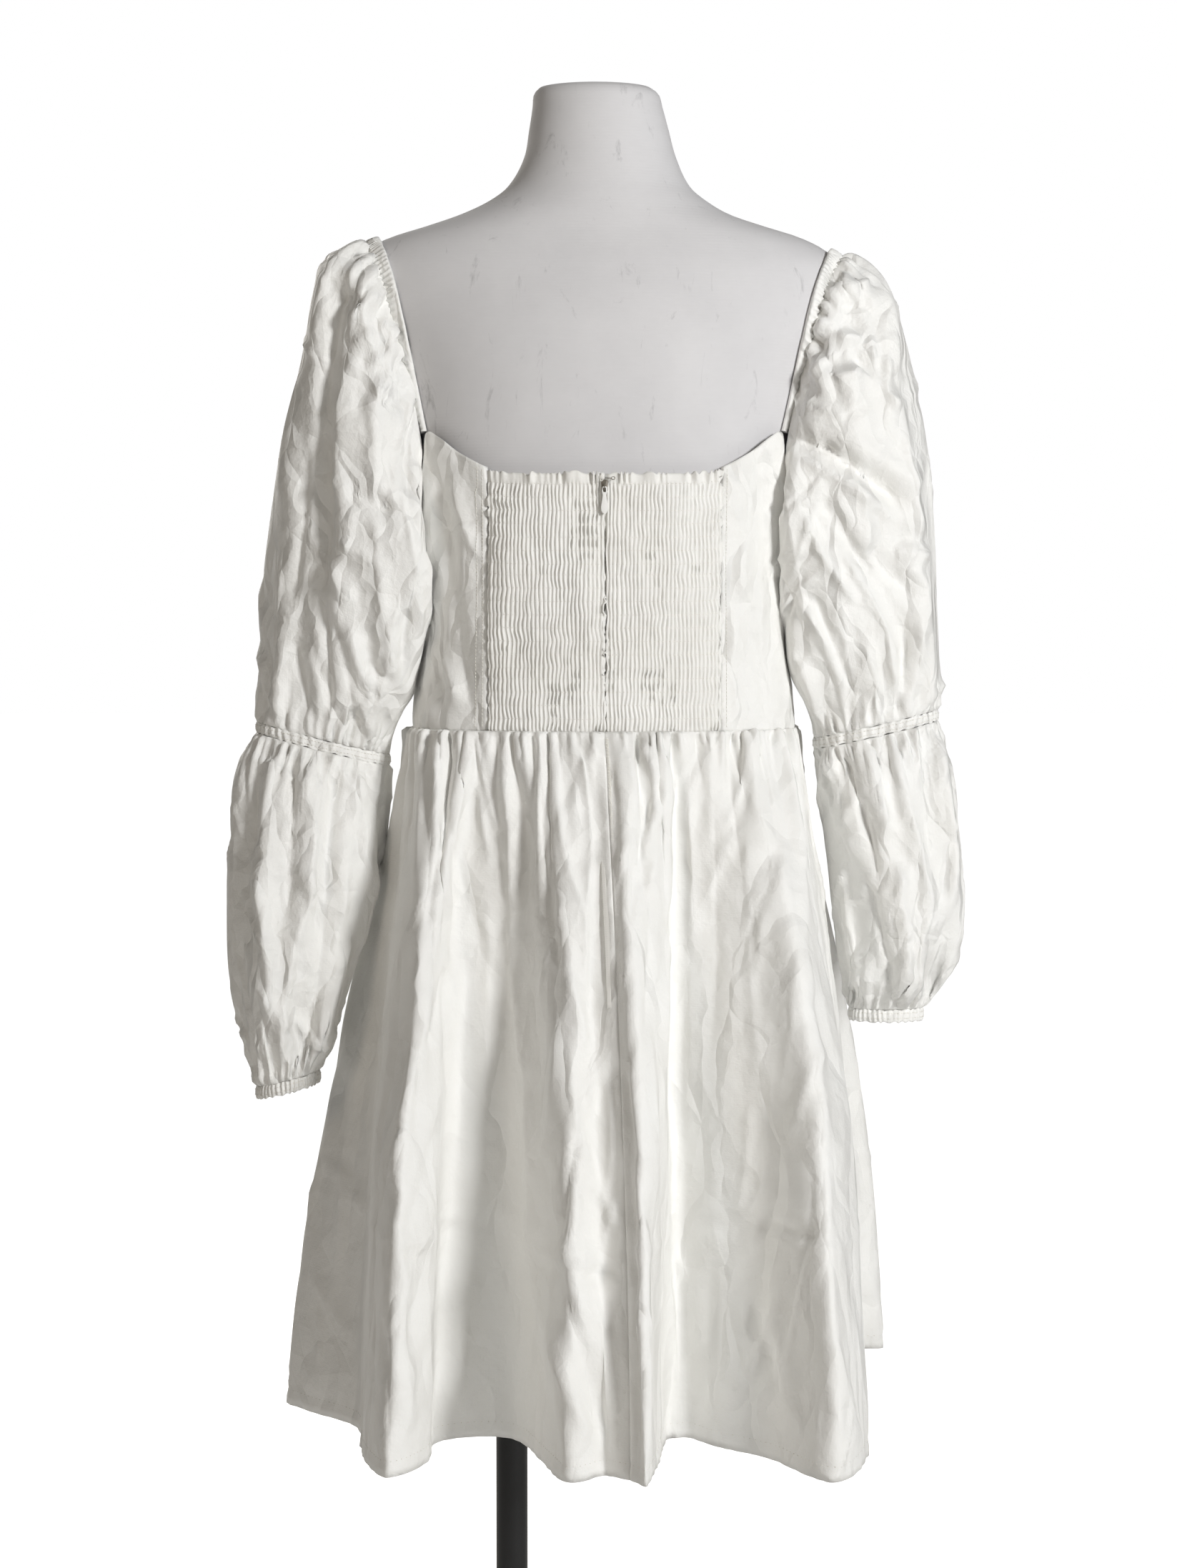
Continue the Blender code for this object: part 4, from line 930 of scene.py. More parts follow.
    def turn_in(self, *edges: str, deep: float = 0.0028) -> None:
        """Adds a seam allowance that turns in behind each edge named: top, bottom, left or right."""
        for edge in edges:
            axis, at, near = {"top": (0, 0, 1), "bottom": (0, -1, -2), "left": (1, 0, 1), "right": (1, -1, -2)}[edge]
            points, out = self.points.take(at, axis), self.normals().take(at, axis)
            ahead = unit(points - self.points.take(near, axis))
            turned = [points + ahead * 0.0003 - out * 0.0007, points - ahead * 0.0004 - out * deep]
            parts = [np.expand_dims(part, axis) for part in turned]
            whole = [*reversed(parts), self.points] if at == 0 else [self.points, *parts]
            self.points = np.concatenate(whole, axis=axis)

    def seam_groove(self, reach: Array, depth: float = 0.0009, wide: float = 0.0022) -> None:
        """Presses the cloth in along a seam, this far from it."""
        self.lift(-depth * np.exp(-((reach / wide) ** 2)))

    def area(self) -> float:
        """The cloth's area in square metres."""
        grid_points = np.concatenate([self.points, self.points[:, :1]], axis=1) if self.closed else self.points
        one = grid_points[1:, 1:] - grid_points[:-1, :-1]
        two = grid_points[1:, :-1] - grid_points[:-1, 1:]
        return float(np.linalg.norm(np.cross(one, two), axis=-1).sum() / 2)

    def build(self, material: Material, thick: float = 0.0005) -> Object:
        """Makes the piece's object: a thin shell, smooth, with a UV map in metres."""
        rows, cols = self.shape
        across = cols if self.closed else cols - 1
        r, c = np.meshgrid(np.arange(rows - 1), np.arange(across), indexing="ij")
        right = (c + 1) % cols
        corners = np.stack([r * cols + c, (r + 1) * cols + c, (r + 1) * cols + right, r * cols + right], axis=-1)
        mesh = bpy.data.meshes.new(self.name)
        mesh.from_pydata(self.points.reshape(-1, 3).tolist(), [], corners.reshape(-1, 4).tolist())
        wide = np.linalg.norm(np.diff(self.points, axis=1), axis=-1).mean()
        tall = self.reach_from_top().mean(axis=1)
        u = np.stack([c, c, c + 1, c + 1], axis=-1) * wide
        v = -np.stack([tall[r], tall[r + 1], tall[r + 1], tall[r]], axis=-1)
        layer = mesh.uv_layers.new(name="cloth")
        layer.data.foreach_set("uv", np.stack([u, v], axis=-1).reshape(-1).astype(np.float32))
        mesh.shade_smooth()
        mesh.materials.append(material)
        obj = linked(self.name, mesh)
        shell = obj.modifiers.new("cloth thickness", "SOLIDIFY")
        shell.thickness, shell.offset = thick, -1.0
        LOG.info("%s: %d faces, %.4f m2", self.name, len(mesh.polygons), self.area())
        return obj


def linked(name: str, data: bpy.types.ID) -> Object:
    """A new object in the scene."""
    obj = bpy.data.objects.new(name, data)
    bpy.context.scene.collection.objects.link(obj)
    return obj


def mount(obj: Object, nodes: Sequence[str] = (), body: str = DRESS) -> Object:
    """Puts a piece on its body and hides the solids that it stands for."""
    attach(obj, body)
    if nodes:
        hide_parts(*nodes)
    return obj


def mesh_piece(name: str, shape: Shape, material: Material, sharp: float = 40.0) -> Object:
    """Makes an object of a bmesh, smooth except at edges sharper than sharp degrees."""
    mesh = bpy.data.meshes.new(name)
    shape.to_mesh(mesh)
    shape.free()
    mesh.shade_smooth()
    mesh.set_sharp_from_angle(angle=math.radians(sharp))
    mesh.materials.append(material)
    return linked(name, mesh)


def loft(rings: Array) -> Shape:
    """A closed skin over rings of points, with a fan of faces at each end."""
    shape = bmesh.new()
    verts = [[shape.verts.new(point) for point in ring] for ring in rings]
    count = len(verts[0])
    for near, far in zip(verts, verts[1:]):
        for i in range(count):
            j = (i + 1) % count
            shape.faces.new((near[i], near[j], far[j], far[i]))
    for ring in (verts[0], verts[-1]):
        middle = shape.verts.new(sum((v.co for v in ring), Vector()) / count)
        for i in range(count):
            shape.faces.new((ring[i], ring[(i + 1) % count], middle))
    bmesh.ops.recalc_face_normals(shape, faces=shape.faces)
    return shape


def lathe(profile: Sequence[tuple[float, float]], segments: int, x: float) -> Shape:
    """A turned solid about an upright axis at this x, from a profile of (radius, height)."""
    shape = bmesh.new()
    turns = np.linspace(0, 2 * math.pi, segments, endpoint=False)
    rings = []
    for radius, height in profile:
        if radius == 0.0:
            rings.append([shape.verts.new((x, 0, height))] * segments)
        else:
            rings.append([shape.verts.new((x + radius * math.cos(t), radius * math.sin(t), height)) for t in turns])
    if profile[0][0] > 0:
        rings.append(rings[0])
    for near, far in zip(rings, rings[1:]):
        for i in range(segments):
            j = (i + 1) % segments
            corners = list(dict.fromkeys((near[i], near[j], far[j], far[i])))
            if len(corners) > 2:
                shape.faces.new(corners)
    bmesh.ops.recalc_face_normals(shape, faces=shape.faces)
    return shape


# Repeats along paths, and wires


def curve_holder(name: str, paths: Sequence[Array], closed: bool = False, **settings: Any) -> Object:
    """An object whose curve runs through the points of each path."""
    curve = bpy.data.curves.new(f"{name}_paths", "CURVE")
    for key, value in settings.items():
        setattr(curve, key, value)
    for points in paths:
        spline = curve.splines.new("POLY")
        spline.points.add(len(points) - 1)
        spline.points.foreach_set("co", np.hstack([points, np.ones((len(points), 1))]).ravel().tolist())
        spline.use_cyclic_u = closed
    return linked(f"{name}_holder", curve)


def mesh_from(holder: Object) -> bpy.types.Mesh:
    """The final mesh of a holder, which goes with its curve."""
    bpy.context.view_layer.update()
    mesh = bpy.data.meshes.new_from_object(holder.evaluated_get(bpy.context.evaluated_depsgraph_get()))
    curve = holder.data
    holder.modifiers.clear()
    bpy.data.objects.remove(holder, do_unlink=True)
    bpy.data.curves.remove(curve)
    return mesh


def joined_shape(mesh: bpy.types.Mesh) -> Shape:
    """A mesh as a bmesh whose double points are one."""
    shape = bmesh.new()
    shape.from_mesh(mesh)
    bpy.data.meshes.remove(mesh)
    bmesh.ops.remove_doubles(shape, verts=shape.verts, dist=1e-6)
    return shape


class Repeat(Enum):
    """What is repeated along a path."""

    STITCH = "stitch"
    TOOTH = "tooth"


@dataclass
class PathRepeat:
    """A Geometry Nodes tree that sets a small thread stitch or coil tooth at even steps along every path."""

    kind: Repeat
    step: float
    length: float
    radius: float

    def tree(self) -> tuple[bpy.types.NodeTree, dict[str, str]]:
        """Builds the tree, and names its inputs' identifiers."""
        tree = bpy.data.node_groups.new(f"{self.kind.value}_row", "GeometryNodeTree")
        made = {}
        kinds = {"Paths": "Geometry", "Step": "Float", "Length": "Float", "Radius": "Float", "Finish": "Material"}
        for name, kind in kinds.items():
            made[name] = tree.interface.new_socket(name, in_out="INPUT", socket_type=f"NodeSocket{kind}").identifier
        tree.interface.new_socket("Row", in_out="OUTPUT", socket_type="NodeSocketGeometry")
        given = add_node(tree, "NodeGroupInput").outputs
        every = {"Curve": given["Paths"], "Length": given["Step"]}
        places = add_node(tree, "GeometryNodeCurveToPoints", every, mode="LENGTH").outputs
        if self.kind is Repeat.STITCH:
            size = {"Vertices": 5, "Radius": given["Radius"], "Depth": given["Length"]}
            one, axis = add_node(tree, "GeometryNodeMeshCylinder", size, fill_type="NGON"), "Z"
        else:
            radii = {"Radius Top": given["Radius"], "Radius Bottom": given["Radius"]}
            size = {"Vertices": 6, **radii, "Depth": given["Length"]}
            one, axis = add_node(tree, "GeometryNodeMeshCone", size, fill_type="TRIANGLE_FAN"), "X"
        turn = add_node(tree, "FunctionNodeAlignRotationToVector", {"Vector": places["Tangent"]}, axis=axis)
        parts = {"Points": places["Points"], "Instance": one.outputs["Mesh"], "Rotation": turn.outputs["Rotation"]}
        row = add_node(tree, "GeometryNodeInstanceOnPoints", parts).outputs["Instances"]
        row = add_node(tree, "GeometryNodeRealizeInstances", {"Geometry": row}).outputs["Geometry"]
        dressed = add_node(tree, "GeometryNodeSetMaterial", {"Geometry": row, "Material": given["Finish"]})
        add_node(tree, "NodeGroupOutput", {"Row": dressed.outputs["Geometry"]})
        return tree, made

    def along(self, name: str, paths: Sequence[Array], material: Material) -> Object:
        """Runs the repeat along paths."""
        holder = curve_holder(name, paths, dimensions="3D")
        tree, made = self.tree()
        modifier = holder.modifiers.new(self.kind.value, "NODES")
        modifier.node_group = tree
        values = {"Step": self.step, "Length": self.length, "Radius": self.radius, "Finish": material}
        for key, value in values.items():
            modifier[made[key]] = value
        mesh = mesh_from(holder)
        mesh.name = name
        mesh.shade_smooth()
        LOG.info("%s: %d faces", name, len(mesh.polygons))
        return linked(name, mesh)


def wire_piece(name: str, points: Array, radius: float, material: Material, closed: bool = False) -> Object:
    """A round wire through points, made a plain mesh."""
    round_wire = {"dimensions": "3D", "bevel_depth": radius, "bevel_resolution": 3, "use_fill_caps": True}
    shape = joined_shape(mesh_from(curve_holder(name, [points], closed, **round_wire)))
    bmesh.ops.recalc_face_normals(shape, faces=shape.faces)
    return mesh_piece(name, shape, material)


# What carries the dress


@dataclass
class DressForm:
    """The limbless form: a padded body and neck under one skin of jersey."""

    segments: int = 96
    rows: int = 130

    def rings(self) -> Array:
        """The form's level rings, from its underside up."""
        heights = np.concatenate(
            [
                np.linspace(FORM_SECTIONS[0].height, FORM_SECTIONS[2].height, 10)[:-1],
                np.linspace(FORM_SECTIONS[2].height, 1.32, 60)[:-1],
                np.linspace(1.32, FORM_SECTIONS[-1].height, self.rows - 70),
            ]
        )
        turns = np.linspace(0, 2 * math.pi, self.segments, endpoint=False)
        half_width, back, front, square, shift = (row[:, None] for row in form_row(heights))
        x, y = oval(half_width, back, front, square, turns[None, :])
        rings = stacked(x + shift, y, heights[:, None])
        inset = rings[-1].copy()
        centre = inset.mean(axis=0)
        for share, drop in ((0.94, 0.0), (0.6, 0.0004), (0.25, 0.0006)):
            rings = np.concatenate([rings, (centre + (inset - centre) * share - [0, 0, drop])[None]])
        return rings

    def build(self, wardrobe: Wardrobe) -> None:
        """Makes the form."""
        form = mesh_piece("dress_form_skin", loft(self.rings()), wardrobe.jersey, 60.0)
        mount(form, ["dress_form"])
        LOG.info("dress form: %d faces", len(form.data.polygons))


@dataclass
class Stand:
    """A round steel base, the collar that grips the pole, and the pole."""

    base_radius: float = 0.170
    base_thick: float = 0.006
    edge: float = 0.002
    pole_x: float = -0.073
    pole_radius: float = 0.0125
    collar_radius: float = 0.023
    collar_height: float = 0.034
    gap: float = 0.0003
    pole_top: float = 0.7097

    def rounded(self, radius: float, height: float) -> list[tuple[float, float]]:
        """The quarter round at the top of an outer edge."""
        out, up, angles = radius - self.edge, height - self.edge, np.linspace(math.pi / 2, 0, 6)
        return [(out + self.edge * math.cos(angle), up + self.edge * math.sin(angle)) for angle in angles]

    def build(self, wardrobe: Wardrobe) -> None:
        """Makes the base, the collar and the pole."""
        top = self.base_thick
        base = [(0.0, top), *self.rounded(self.base_radius, top), (self.base_radius, 0.0), (0.0, 0.0)]
        mount(mesh_piece("base_plate", lathe(base, 128, 0.0), wardrobe.black), ["stand_base"])
        foot, grip = top + self.gap, "stand_collar"
        flange = self.collar_radius + 0.009
        bore = self.pole_radius + self.gap
        collar = [
            (bore, foot + self.collar_height),
            *self.rounded(self.collar_radius, foot + self.collar_height),
            (self.collar_radius, foot + 0.0075),
            (self.collar_radius + 0.0008, foot + 0.006),
            (self.collar_radius + 0.002, foot + 0.005),
            (flange - 0.0015, foot + 0.004),
            (flange, foot + 0.0028),
            (flange, foot),
            (bore, foot),
        ]
        mount(mesh_piece("pole_collar", lathe(collar, 64, self.pole_x), wardrobe.black), [grip])
        pole = [(0.0, self.pole_top), (self.pole_radius, self.pole_top), (self.pole_radius, foot), (0.0, foot)]
        mount(mesh_piece("pole_tube", lathe(pole, 48, self.pole_x), wardrobe.black), ["stand_pole"])
        LOG.info("stand: base, collar and pole")


# Bodice


@dataclass
class Bodice:
    """Two shirred back panels, two plain side backs and the front."""

    waist: float = 0.996
    smock_half_width: float = 0.089
    side_seam_turn: float = 93.0
    zip_gap: float = 0.0008
    ribs: int = 29
    rib_height: float = 0.0015
    elastic_rows: int = 19
    header: float = 0.0085
    kink: float = 0.26
    ruffle_height: float = 0.0022
    swell_height: float = 0.0040
    swell_fade: float = 0.030
    side_fade: float = 0.020
    stitched: list[Array] = field(default_factory=list)
    elastic: list[Array] = field(default_factory=list)

    def smock(self, side: int) -> Cloth:
        """One shirred panel: ribs that kink at each elastic row, swells over it and a ruffled header."""
        word = "right" if side > 0 else "left"
        across, down = grid(self.ribs * 8, 97, False)
        share = mirrored(across, side)
        x = side * mix(self.zip_gap / 2, self.smock_half_width, share)
        top = bodice_edge(bodice_turn(x, 1.2))
        height = mix(top, self.waist, down)
        cloth = Cloth(f"smock_{word}", bodice_point(bodice_turn(x, height), height), seed=11 + side)
        reach = cloth.reach_from_top()
        length = reach[-1:]
        rng = cloth.rng
        pitch = (length - self.header) / self.elastic_rows
        place = np.clip((reach - self.header) / pitch, 0, self.elastic_rows)
        # Each elastic row shifts the ribs to one side, by an amount that drifts across the panel
        kinks = rng.uniform(-self.kink, self.kink, (self.elastic_rows + 3, 12))
        kinks[1::2] += 0.14
        over = through(kinks.T, across[0] * 10.99).T
        low = np.floor(place).astype(int)
        part = place - low
        cols = np.broadcast_to(np.arange(cloth.shape[1]), cloth.shape)
        kink = mix(over[low, cols], over[low + 1, cols], smooth_step(part))
        phase = 2 * math.pi * (self.ribs * across + kink)
        uneven = 1 + 0.35 * soft_field(rng, cloth.shape, (26, 22), False)
        rib = self.rib_height * (0.5 - 0.5 * np.cos(phase)) ** 0.8 * uneven
        on_row = np.exp(-(((part + 0.5) % 1.0 - 0.5) / 0.15) ** 2)
        rib = rib * (1 - 0.7 * on_row) + 0.0003 * on_row
        body = smooth_step((reach - self.header * 0.7) / (self.header * 0.5))
        ruffle_phase = 2 * math.pi * (11 * across + 1.1 * soft_field(rng, cloth.shape, (1, 9), False))
        frill = 0.6 + 0.6 * soft_field(rng, cloth.shape, (1, 13), False)
        ruffle = self.ruffle_height * frill * (1 + np.sin(ruffle_phase)) * (1 - reach / self.header * 0.45)
        swell = np.clip(soft_field(cloth.rng, cloth.shape, (3, 2), False), 0, 1)
        swell *= smooth_step(reach / self.swell_fade) * smooth_step((length - reach) / self.swell_fade)
        sides = smooth_step(np.minimum(*cloth.reach_from_sides()) / self.side_fade)
        cloth.lift(self.swell_height * swell * sides)
        cloth.lift(mix(ruffle, rib, body))
        cloth.points[..., 2] += (1 - body) * 0.0015 * np.sin(ruffle_phase * 1.5 + 1) * frill
        cloth.swell((6, 5), 0.0009, body)
        near, far = cloth.reach_from_sides()
        cloth.seam_groove(far if side > 0 else near, 0.0016, 0.0024)
        cloth.seam_groove(cloth.reach_from_bottom(), 0.0006, 0.003)
        if side > 0:
            cloth.seam_groove(near, 0.0014, 0.0022)
        else:
            cloth.seam_groove(far, -0.0009, 0.0014)
        above = cloth.above(THREAD_UP)
        for row in range(self.elastic_rows + 1):
            index = nearest_row(reach, self.header + row * pitch[0].mean())
            if index < cloth.shape[0] - 2:
                self.elastic.append(above[index, 3:-3])
        cloth.turn_in("left", "right", "bottom")
        return cloth

    def side_back(self, side: int) -> Cloth:
        """The plain panel between the shirring and the side seam."""
        word = "right" if side > 0 else "left"
        across, down = grid(64, 92, False)
        share = mirrored(across, side)
        start = abs(bodice_turn(self.smock_half_width, 1.1))
        height = mix(bodice_edge(mix(start, self.side_seam_turn, share)), self.waist, down)
        near_turn = np.abs(bodice_turn(self.smock_half_width, height))
        turn = side * mix(near_turn, self.side_seam_turn, share)
        cloth = Cloth(f"side_back_{word}_cloth", bodice_point(turn, height), seed=21 + side)
        near, far = cloth.reach_from_sides()
        inner = near if side > 0 else far
        edge = np.minimum(cloth.reach_from_top(), cloth.reach_from_bottom())
        calm = smooth_step(edge / 0.012) * smooth_step(inner / 0.010)
        cloth.swell((3, 2), 0.0016, calm)
        cloth.press_creases(BODICE_CREASES, calm)
        cloth.crumple(Crumple(12, (25, 60), (5, 11), (0.3, 0.8), 20.0 * side, 40.0), calm)
        cloth.seam_groove(inner, 0.0012, 0.0024)
        cloth.seam_groove(cloth.reach_from_bottom(), 0.0006, 0.003)
        above = cloth.above(STITCH_UP)
        for offset in (0.0035, 0.0095) if side < 0 else (0.0035,):
            index = np.argmin(np.abs(inner - offset), axis=1)
            self.stitched.append(above[np.arange(cloth.shape[0]), index][2:-2])
        cloth.turn_in("left", "right", "bottom")
        return cloth

    def front(self) -> Cloth:
        """The front of the bodice, from side seam to side seam, with the ease of a general bust."""
        across, down = grid(104, 66, False)
        turn = mix(self.side_seam_turn, 360 - self.side_seam_turn, across)
        height = mix(bodice_edge(turn), self.waist, down)
        cloth = Cloth("front_bodice_cloth", bodice_point(turn, height), seed=31)
        edge = np.minimum(cloth.reach_from_top(), cloth.reach_from_bottom())
        calm = smooth_step(edge / 0.012)
        cloth.swell((4, 6), 0.0014, calm)
        cloth.gather(across, cloth.reach_from_bottom(), 22, 0.0009, (0.02, 0.06), calm)
        cloth.crumple(Crumple(34, (30, 90), (6, 14), (0.3, 1.0), 15.0, 60.0), calm)
        cloth.seam_groove(cloth.reach_from_bottom(), 0.0010, 0.003)
        self.stitched.append(cloth.above(STITCH_UP)[nearest_row(cloth.reach_from_top(), 0.005), 4:-4])
        cloth.turn_in("left", "right", "bottom")
        return cloth

    def build(self, wardrobe: Wardrobe) -> None:
        """Makes the bodice's cloth, its rows of elastic and its top-stitching."""
        for side, word in ((-1, "left"), (1, "right")):
            cloth = self.smock(side)
            piece = mount(cloth.build(wardrobe.shirring, 0.0004), [f"smock_back_{word}"])
            cloth = self.side_back(side)
            piece = mount(cloth.build(wardrobe.cotton), [f"side_back_{word}"])
        front = mount(self.front().build(wardrobe.cotton), ["front_bodice"])
        stitch = PathRepeat(Repeat.STITCH, 0.0028, 0.0021, 0.00022)
        mount(stitch.along("bodice_top_stitching", self.stitched, wardrobe.thread))
        row = PathRepeat(Repeat.STITCH, 0.0030, 0.0017, 0.00016)
        mount(row.along("shirring_elastic_rows", self.elastic, wardrobe.thread))


# Skirt


@dataclass
class Skirt:
    """The gathered skirt: two back panels that meet at the centre-back seam, and the front."""

    waist: float = 0.996
    hem: float = 0.468
    flare_power: float = 1.60
    flare_to_right: float = 0.9
    hem_turn_up: float = 0.011
    rows: int = 112
    packing_fold: float = 0.165
    usual_columns: int = 176
    hem_paths: list[Array] = field(default_factory=list)

    def __post_init__(self) -> None:
        """Lays the folds out evenly by the waist and the hem."""
        rows = np.array([[row.hem_x, row.hem_y, row.waist_turn] for row in SKIRT_FOLDS], float)
        turn = np.array([0.0, 0.0, 360.0])
        ahead = np.vstack([rows[-1] - turn, rows, rows[0] + turn, rows[1] + turn])
        self.samples = through(ahead, 1 + np.arange(len(rows) * SAMPLES_PER_FOLD + 1) / SAMPLES_PER_FOLD)
        waist = bodice_point(self.samples[:, 2], self.waist)
        hem_steps = np.linalg.norm(np.diff(self.samples[:, :2], axis=0), axis=1)
        waist_steps = np.linalg.norm(np.diff(waist, axis=0), axis=1)
        steps = hem_steps / hem_steps.sum() + waist_steps / waist_steps.sum()
        self.lengths = np.concatenate([[0.0], np.cumsum(steps)])

    def fold_share(self, fold: int) -> float:
        """How far round the skirt a row of the folds lies."""
        return float(self.lengths[fold * SAMPLES_PER_FOLD] / self.lengths[-1])

    def base(self, share: Array, down: Array) -> Array:
        """The skirt's solid face without its gathers."""
        whole = np.floor(share)
        length = (share - whole) * self.lengths[-1]
        hem_x, hem_y, turn = (np.interp(length, self.lengths, self.samples[:, i]) for i in range(3))
        waist = bodice_point(turn + 360 * whole, self.waist)
        flare = 1 - (1 - np.minimum(down, 1.0)) ** (self.flare_power + self.flare_to_right * hem_x)
        height = mix(self.waist, self.hem, down)
        return stacked(mix(waist[..., 0], hem_x, flare), mix(waist[..., 1], hem_y, flare), height)

    def panel(self, name: str, start: float, end: float, columns: int, gathers: int, seed: int) -> Cloth:
        """One panel of the skirt."""
        across, down = grid(columns, np.linspace(0, 1, self.rows) ** 1.18, False)
        cloth = Cloth(name, self.base(mix(start, end, across), down), seed=seed)
        top, bottom = cloth.reach_from_top(), cloth.reach_from_bottom()
        near, far = cloth.reach_from_sides()
        sides = smooth_step(np.minimum(near, far) / 0.012)
        edge = smooth_step(top / 0.02) * sides
        cloth.gather(across, top, gathers, 0.0062, (0.060, 0.24), sides * 0.85 + 0.15, 0.006)
        cloth.gather(across, top, int(gathers * 2.3), 0.0034, (0.020, 0.08), sides, 0.004)
        cloth.swell((5, 9), 0.0022, edge)
        cloth.swell((12, 16), 0.0007, edge)
        cloth.press_creases(SKIRT_CREASES, edge)
        many = columns / self.usual_columns
        cloth.crumple(Crumple(int(40 * many), (60, 200), (4, 11), (1.2, 3.4), 6.0, 22.0), edge)
        cloth.crumple(Crumple(int(60 * many), (20, 80), (3, 6), (0.3, 0.9), 0.0, 85.0), edge)
        # The packet's fold runs level round the skirt
        fold_line = self.packing_fold + 0.004 * soft_field(cloth.rng, cloth.shape, (1, 6), False)
        cloth.lift(0.0011 * crease_profile((bottom - fold_line) / 0.004) * sides)
        hem = np.exp(-(((bottom - self.hem_turn_up) / 0.0013) ** 2))
        cloth.lift(-0.0006 * hem + 0.0004 * (bottom < self.hem_turn_up))
        cloth.gather(across, bottom, gathers * 3, 0.0005, (0.008, 0.020), sides)
        for reach in (near, far):
            cloth.seam_groove(reach, 0.0011, 0.0024)
        cloth.seam_groove(top, -0.0007, 0.004)
        self.hem_paths.append(cloth.above(THREAD_UP)[nearest_row(bottom, self.hem_turn_up), 2:-2])
        cloth.turn_in("left", "right", "top")
        return cloth

    def build(self, wardrobe: Wardrobe) -> None:
        """Makes the skirt's panels and the stitches of its hem."""
        centre, right = self.fold_share(CENTRE_BACK_FOLD), self.fold_share(RIGHT_SIDE_FOLD)
        plans = (
            ("skirt_back_left", 0.0, centre, 176, 13, 41, (0.66, 0.55), 0.29),
            ("skirt_back_right", centre, right, 176, 12, 42, (0.66, 0.55), 0.29),
            ("skirt_front", right, 1.0, 240, 26, 43, (1.32, 0.55), 0.58),
        )
        for node, start, end, columns, gathers, seed, flat, area in plans:
            cloth = self.panel(f"{node}_cloth", start, end, columns, gathers, seed)
            piece = mount(cloth.build(wardrobe.skirt), [node])
        stitch = PathRepeat(Repeat.STITCH, 0.0052, 0.0011, 0.00022)
        mount(stitch.along("hem_stitches", self.hem_paths, wardrobe.thread))


# Sleeves


